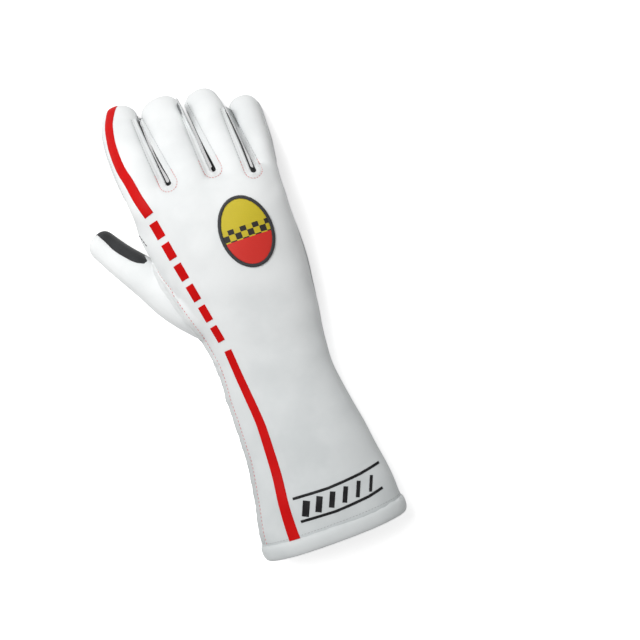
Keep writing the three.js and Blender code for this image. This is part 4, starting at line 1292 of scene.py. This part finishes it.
# %% Laying pieces on the cloth
def straight(ax, ay, bx, by):
    """Positive to the left of a line from a to b."""
    length = math.hypot(bx - ax, by - ay)
    return lambda p: ((bx - ax) * (p[:, 1] - ay) - (by - ay) * (p[:, 0] - ax)) / length


def edges_of(outline):
    """One straight cut for each edge of a convex outline."""
    points = np.array(outline, float)
    area = np.sum(points[:, 0] * np.roll(points[:, 1], -1) - np.roll(points[:, 0], -1) * points[:, 1])
    points = points if area > 0 else points[::-1]
    return [straight(*a, *b) for a, b in zip(points, np.roll(points, -1, axis=0))]


def outline_field(outline):
    return lambda p: inside(outline, p)


def flat_print(name, outline, fields, material, slot, margin=3.0):
    laid_piece(f"{name}_print", outline, fields, 1, PRINT, material, slot, name, margin=margin)


def grip(name, outline, fields):
    laid_piece(f"{name}_grip", outline, fields, -1, GRIP, silicone, "silicone", name, soften=0.9)


def strip_field(line, start_width, end_width):
    """Positive within a strip along a plan line."""
    def field(p):
        away, along = from_line(line, p)
        return (start_width + (end_width - start_width) * along / (len(line) - 1)) / 2 - away
    return field


def oval_outline(x, y, half_width, half_height, power=2.0, count=48):
    angle = np.linspace(0, 2 * np.pi, count, endpoint=False)
    across, up = np.cos(angle), np.sin(angle)
    return np.stack([x + half_width * np.sign(across) * np.abs(across) ** (2 / power),
                     y + half_height * np.sign(up) * np.abs(up) ** (2 / power)], axis=-1)


def laid_piece(name, box, fields, face, height, material, slot, *nodes, soften=0.0, margin=3.0):
    """A thin piece cut from the fine skin inside a plan box, lifted, with rounded edges if asked."""
    low, high = np.min(box, axis=0) - margin, np.max(box, axis=0) + margin
    p = fine_skin.points
    near = ((p[:, :2] > low) & (p[:, :2] < high)).all(axis=1) & (over_sheet(p) * face > -1.5)
    cloth = fine_skin.part(near)
    for field in [(over_sheet if face > 0 else opposite(over_sheet)), *fields]:
        cloth = cloth.cut(field)
    lift = np.full(len(cloth.points), height)
    if soften:
        edge = np.min([field(cloth.points) for field in fields], axis=0)
        lift -= 0.6 * height * (1 - np.clip(edge / soften, 0, 1)) ** 2
    dressed(cloth.lifted(lift).object(name), material, slot, *nodes, thick=height + 0.1)


def end_cuts(line):
    """Square cuts at both ends of a strip."""
    line = np.array(line, float)
    first, last = line[1] - line[0], line[-1] - line[-2]
    return [straight(line[0][0], line[0][1], line[0][0] + first[1], line[0][1] - first[0]),
            straight(line[-1][0], line[-1][1], line[-1][0] - last[1], line[-1][1] + last[0])]


PRINT, GRIP = 0.28, 0.8
index_line = flowing([(-43.9, 334.5), (-47.8, 326), (-50.4, 317.2), (-51.4, 306), (-51.3, 297.6),
                      (-50.0, 283.4), (-47.0, 271.2), (-44.5, 258.5), (-41.0, 245.1)], 4)
cuff_line = flowing([(-24.2, 143), (-23.0, 121), (-20.8, 94), (-20.6, 80), (-21.8, 52), (-24.0, 32),
                     (-24.8, 16), (-24.8, 7)], 4)
for name, line, start, end in (("index", index_line, 5.9, 7.1), ("cuff", cuff_line, 5.2, 7.8)):
    flat_print(f"{name}_stripe", line, [strip_field(line, start, end), *end_cuts(line)],
               red_print, "red_print", margin=6)
print("stripe lines:", len(index_line), len(cuff_line))

# %% Bars and lines
def bar_outline(start, end, width):
    start, end = np.array(start, float), np.array(end, float)
    way = (end - start) / np.linalg.norm(end - start)
    across = np.array([-way[1], way[0]]) * width / 2
    return [start - across, end - across, end + across, start + across]


BARS = 6
run_start, run_end = np.array([-40.6, 241.5]), np.array([-25.4, 147.5])
for bar in range(BARS):
    first, last = (run_start + (run_end - run_start) * (bar + share) / BARS for share in (0.1, 0.82))
    outline = bar_outline(first, last, 6.4 - 1.2 * bar / (BARS - 1))
    flat_print(f"stripe_bar_{bar + 1}", outline, edges_of(outline), red_print, "red_print")
LINE = 1.8
for name, y, end in (("upper", 33.4, 46.5), ("lower", 17.2, 43)):
    line = [(-16.8, y), (8, y - 0.9), (32, y), (end, y + 1.6)]
    flat_print(f"cuff_line_{name}", line, [strip_field(line, LINE, LINE), *end_cuts(line)],
               black_print, "black_print")
CUFF_BARS = 6
for bar in range(CUFF_BARS):
    x = -10.5 + 9.4 * bar
    outline = bar_outline((x - 2.2, 19.6), (x + 2.2, 29.4), 2 * (2.4 - 1.4 * bar / (CUFF_BARS - 1)))
    flat_print(f"cuff_bar_{bar + 1}", outline, edges_of(outline), black_print, "black_print")

# %% Silicone grips
FINGER_GRIPS = [
    # name, x and y range of the tip pad, x and y range of the knuckle pad, width, side of the prong
    ("index", (-43.2, 306, 327), (-39.5, 252, 277), 17, -1),
    ("middle", (-13.2, 302, 323), (-7.3, 250, 278), 16, -1),
    ("ring", (16, 299, 319), (21, 249.2, 275), 14.6, -1),
    ("little", (43, 287, 305), (43.2, 245, 268), 12.6, 1),
]
for name, (tip_x, tip_from, tip_to), (x, start, end), width, prong in FINGER_GRIPS:
    outline = oval_outline(tip_x, (tip_from + tip_to) / 2, width / 2, (tip_to - tip_from) / 2, 2.8)
    grip(f"tip_pad_{name}", outline, [outline_field(outline)])
    half = width / 2
    outline = [(x - half, start), (x + half, start), (x + half, end - 10), (x + prong * half, end - 8),
               (x + prong * half, end), (x + prong * (half - 5), end), (x + prong * (half - 5), end - 8),
               (x - half, end - 10)]
    outline = [p for i, p in enumerate(outline) if i == 0 or math.dist(p, outline[i - 1]) > 0.5]
    grip(f"knuckle_pad_{name}", outline, [outline_field(outline)])
PALM_GRIPS = {
    "upper": [(46, 242.5), (-45, 242.5), (-42, 239.5), (28, 239.5), (46, 236)],
    "middle": [(46.5, 232), (28, 235.5), (-42, 235.5), (-40, 232.5), (8, 229.5), (46, 219.5)],
    "lower": [(46, 213.5), (8, 225), (-22, 228), (-12, 218), (0, 207), (8, 197), (30, 205)],
}
for name, outline in PALM_GRIPS.items():
    grip(f"palm_grip_{name}", outline, [outline_field(outline)])
outer, inner = (oval_outline(*HEEL, radius, radius) for radius in (17.5, 15.0))
grip("heel_ring", outer, [outline_field(outer), opposite(outline_field(inner))])
for index, x in enumerate((-26, -35)):
    outline = bar_outline((x, 192), (x - 2, 206), 4.2)
    grip(f"thumb_grip_{index + 1}", outline, edges_of(outline))
print("grips on the palm side:", len(FINGER_GRIPS) * 2 + len(PALM_GRIPS) + 3)

# %% [markdown]
# ## The embroidered patch
# The patch on the back of the hand is an oval of close satin stitches with a thick overlocked
# border. Its design is a plain racing one: a chequered band between a yellow and a red field.

# %% Patch
PATCH = {"x": 16.2, "y": 213.0, "width": 18.2, "height": 24.6, "border": 2.6}


def patch_outline(inset):
    return oval_outline(PATCH["x"], PATCH["y"], PATCH["width"] - inset, PATCH["height"] - inset, count=64)


def patch_material():
    material, tree, shader = blank("patch embroidery")
    spot = put(tree, "ShaderNodeSeparateXYZ", None, {0: place_of(tree)})
    middle = on_plan(PATCH["x"], PATCH["y"])
    x = maths(tree, "SUBTRACT", spot.outputs["X"], middle.x)
    y = maths(tree, "SUBTRACT", spot.outputs["Y"], middle.y)
    square = 0.0042
    column = maths(tree, "FLOOR", maths(tree, "DIVIDE", maths(tree, "ADD", x, 0.1), square))
    row = maths(tree, "FLOOR", maths(tree, "DIVIDE", maths(tree, "ADD", y, 0.1), square))
    odd = maths(tree, "MODULO", maths(tree, "ADD", column, row), 2.0)
    chequer = mixed(tree, odd, (0.68, 0.54, 0.018), (0.012, 0.012, 0.014))
    upper = mixed(tree, maths(tree, "GREATER_THAN", y, square), chequer, (0.72, 0.58, 0.02))
    colour = mixed(tree, maths(tree, "LESS_THAN", y, -square), upper, (0.78, 0.02, 0.014))
    slant = maths(tree, "ADD", y, maths(tree, "MULTIPLY", x, 0.35))
    threads = maths(tree, "SINE", maths(tree, "MULTIPLY", slant, 12500.0))
    dark = mixed(tree, mapped(tree, threads, 0.0, 0.4, -1.0, 1.0), colour, (0.05, 0.03, 0.01))
    rough = mapped(tree, used(tree, nap, Scale=1800.0)["Tone"], 0.4, 0.66)
    finished(tree, shader, dark, rough, threads, 0.35, 0.00012)
    return material


patch_thread = patch_material()
patch_inner = patch_outline(PATCH["border"] - 0.6)
laid_piece("back_patch_embroidery", patch_inner, [outline_field(patch_inner)], 1, 0.6, patch_thread,
           "patch_embroidery", "back_patch", soften=0.6)
patch_outer, patch_hole = patch_outline(0.3), patch_outline(PATCH["border"])
patch_ring = [outline_field(patch_outer), opposite(outline_field(patch_hole))]
laid_piece("patch_border_base", patch_outer, patch_ring, 1,
           1.0, black_thread, "patch_edge", "patch_border", soften=1.1)
print("patch centre:", [round(v, 4) for v in on_plan(PATCH["x"], PATCH["y"])])

# %% [markdown]
# ## Stitches
# A row of stitches is one short thread repeated along a path, which is what Geometry Nodes do best.
# The path is a run of points that know which way the row runs and which way is up. Instance on Points
# sets a bead of thread on each point, and a random stretch keeps the row from looking printed.

# %% The stitch tree
def stitch_tree():
    tree = bpy.data.node_groups.new("stitch run", "GeometryNodeTree")
    for name, kind, value in (("Geometry", "NodeSocketGeometry", None), ("Length", "NodeSocketFloat", 0.002),
                              ("Thickness", "NodeSocketFloat", 0.0005), ("Stretch", "NodeSocketFloat", 0.12),
                              ("Seed", "NodeSocketInt", 5), ("Thread", "NodeSocketMaterial", None)):
        made = tree.interface.new_socket(name, in_out="INPUT", socket_type=kind)
        if value is not None:
            made.default_value = value
    tree.interface.new_socket("Geometry", in_out="OUTPUT", socket_type="NodeSocketGeometry")
    given = tree.nodes.new("NodeGroupInput").outputs
    bead = put(tree, "GeometryNodeMeshUVSphere", None, {"Segments": 8, "Rings": 5, "Radius": 0.5}).outputs[0]
    smooth = put(tree, "GeometryNodeSetShadeSmooth", None, {"Geometry": bead}).outputs[0]
    way, up = (put(tree, "GeometryNodeInputNamedAttribute", {"data_type": "FLOAT_VECTOR"},
                   {"Name": name}).outputs[0] for name in ("way", "up"))
    along = put(tree, "FunctionNodeAlignRotationToVector", {"axis": "X"}, {"Vector": way}).outputs[0]
    upright = put(tree, "FunctionNodeAlignRotationToVector", {"axis": "Z", "pivot_axis": "X"},
                  {"Rotation": along, "Vector": up}).outputs[0]
    chance = put(tree, "FunctionNodeRandomValue", {"data_type": "FLOAT"},
                 {2: maths(tree, "SUBTRACT", 1.0, given["Stretch"]),
                  3: maths(tree, "ADD", 1.0, given["Stretch"]), "Seed": given["Seed"]}).outputs[1]
    size = put(tree, "ShaderNodeCombineXYZ", None,
               {0: maths(tree, "MULTIPLY", given["Length"], chance), 1: given["Thickness"],
                2: maths(tree, "MULTIPLY", given["Thickness"], 0.8)}).outputs[0]
    threads = put(tree, "GeometryNodeInstanceOnPoints", None,
                  {"Points": given["Geometry"], "Instance": smooth,
                   "Rotation": upright, "Scale": size}).outputs[0]
    real = put(tree, "GeometryNodeRealizeInstances", None, {"Geometry": threads}).outputs[0]
    done = put(tree, "GeometryNodeSetMaterial", None,
               {"Geometry": real, "Material": given["Thread"]}).outputs[0]
    tree.links.new(done, tree.nodes.new("NodeGroupOutput").inputs[0])
    return tree


stitch_nodes = stitch_tree()
stitch_inputs = {item.name: item.identifier for item in stitch_nodes.interface.items_tree
                 if item.in_out == "INPUT"}


def stepped(spots, ups, step):
    """Places at even steps along a run, with the way it runs and the up direction at each."""
    rows = even(np.hstack([spots, ups]), step)
    return rows[:, :3], np.gradient(rows[:, :3], axis=0), rows[:, 3:]


def stitched(name, runs, thread, slot, length, thickness, gap, crossing=False):
    """Rows of thread along some runs, or lying across them, as one object."""
    step = gap + (thickness if crossing else length)
    steps = [stepped(spots, ups, step) for spots, ups in runs if len(spots) > 2]
    places, ways, ups = (np.concatenate(column) for column in zip(*steps))
    if crossing:
        ways = np.cross(ways, ups)
    places = places + ups * thickness * 0.2
    obj = placed(name, places, [])
    for key, values in (("way", ways), ("up", ups)):
        obj.data.attributes.new(key, "FLOAT_VECTOR", "POINT").data.foreach_set("vector", values.ravel())
    rows = obj.modifiers.new("stitches", "NODES")
    rows.node_group = stitch_nodes
    for key, value in (("Length", length * MM), ("Thickness", thickness * MM), ("Seed", 5),
                       ("Thread", thread)):
        rows[stitch_inputs[key]] = value
    made = evaluated_copy(obj, name)
    obj.modifiers.clear()
    obj.data = made
    dressed(obj, thread, slot)
    print(name, len(places), "stitches")


# %% Rows of stitches
RING_POINTS = 300


def ringed(y):
    """A run once round the cuff."""
    return laid(hand_points(y, np.linspace(0, 2 * np.pi, RING_POINTS)))


red_runs, grey_runs = [], []
for spots, ups, share in slit_runs.values():
    near = share < 0.16
    first, last = np.argmax(near), len(near) - np.argmax(near[::-1])
    red_runs.append((spots[first:last], ups[first:last]))
    grey_runs += [(spots[:first], ups[:first]), (spots[last:], ups[last:])]
stitched("crotch_stitches", red_runs, red_thread, "white_seam", length=1.5, thickness=0.4, gap=0.5)
beside_ridge = laid(side_spots + np.array([1.8, 0.0, 2.6]), rounds=6)
beside_index = laid(ridge_spots["index"] + np.array([0.8, 0.0, 2.4]), rounds=6)
stitched("seam_stitches", [*grey_runs, beside_index, ringed(MOUTH_Y + 2.6)], grey_thread, "white_seam",
         length=1.7, thickness=0.3, gap=0.6)
tack_run = draped(even([(-53.6, 236), (-51.4, 229)], 0.6), rounds=1)
stitched("thumb_tack", [tack_run], black_thread, "white_seam", length=2.2, thickness=0.7, gap=0.25)
stitched("side_seam_stitches", [beside_ridge], red_thread, "white_seam", length=1.6, thickness=0.42, gap=1.0)
thumb_runs = [draped(even(shifted(flowing(PALM_ARC[:8]), away), 1.2), face=-1, rounds=4)
              for away in (1.6, 3.2)]
palm_run = laid(parting_points(np.arange(244.0, 160.0, -1.5), 1) - np.array([0, 0, 2.4]), rounds=6)
stitched("palm_stitches", [*thumb_runs, palm_run], red_thread, "suede", length=1.8, thickness=0.45, gap=0.8)
elastic_out = (hand_points(ELASTIC_Y + 9, elastic_angle, 1.0, floor=-1.0)
               - hand_points(ELASTIC_Y + 9, elastic_angle, 0.0, floor=0.0))
elastic_out /= np.linalg.norm(elastic_out, axis=1, keepdims=True)
elastic_runs = [(elastic_points[min(row * 8 + 1, len(elastic_points) - 2)], elastic_out)
                for row in range(ROWS + 1)]
stitched("elastic_stitches", elastic_runs, white_thread, "elastic", length=1.7, thickness=0.4, gap=0.25)
border_line = even(patch_outline((PATCH["border"] + 0.3) / 2), 0.7)
border_spots, border_ups = draped([*border_line, border_line[0]], rounds=6)
border_run = (border_spots + border_ups * 0.75, border_ups)
stitched("patch_border_stitches", [border_run], black_thread, "patch_edge",
         length=2.7, thickness=0.6, gap=0.0, crossing=True)

# %% [markdown]
# ## The floor and the light
# The photograph has a pale ground and soft light from the upper left, which leaves the right side of
# the glove and the cuff slightly greyer. A large soft lamp does that, with a bright even sky.

# %% Floor and lights
FLOOR = 1.5
floor_corners = [(-FLOOR, -FLOOR, 0), (FLOOR, -FLOOR, 0), (FLOOR, FLOOR, 0), (-FLOOR, FLOOR, 0)]
floor = shown("floor", mesh_from("floor", floor_corners, [[0, 1, 2, 3]]))
floor_finish, floor_tree, floor_shader = blank("pale floor")
floor_shader.inputs["Base Color"].default_value = (0.88, 0.88, 0.88, 1)
floor_shader.inputs["Roughness"].default_value = 0.7
seen = put(floor_tree, "ShaderNodeLightPath").outputs["Is Camera Ray"]
floor_shader.inputs["Emission Color"].default_value = (1, 1, 1, 1)
floor_tree.links.new(maths(floor_tree, "MULTIPLY", seen, 0.6), floor_shader.inputs["Emission Strength"])
floor.data.materials.append(floor_finish)


def lamp(name, place, target, size, power):
    light = bpy.data.lights.new(name, "AREA")
    light.size = size
    light.energy = power
    obj = shown(name, light)
    obj.location = place
    obj.rotation_euler = (Vector(target) - Vector(place)).to_track_quat("-Z", "Y").to_euler()


# The lamp gives only part of the cuff's grey; the rest is painted shade in the knit's colour.
lamp("window", (-0.28, 0.42, 0.9), (0, 0, 0), 0.6, 9.4)
lamp("fill", (0.7, -0.5, 0.9), (0, 0, 0), 1.2, 0.4)
world = bpy.data.worlds.new("soft sky")
world.use_nodes = True
world.node_tree.nodes["Background"].inputs["Color"].default_value = (1, 1, 1, 1)
world.node_tree.nodes["Background"].inputs["Strength"].default_value = 0.33
bpy.context.scene.world = world
bpy.context.scene.view_settings.view_transform = "Standard"
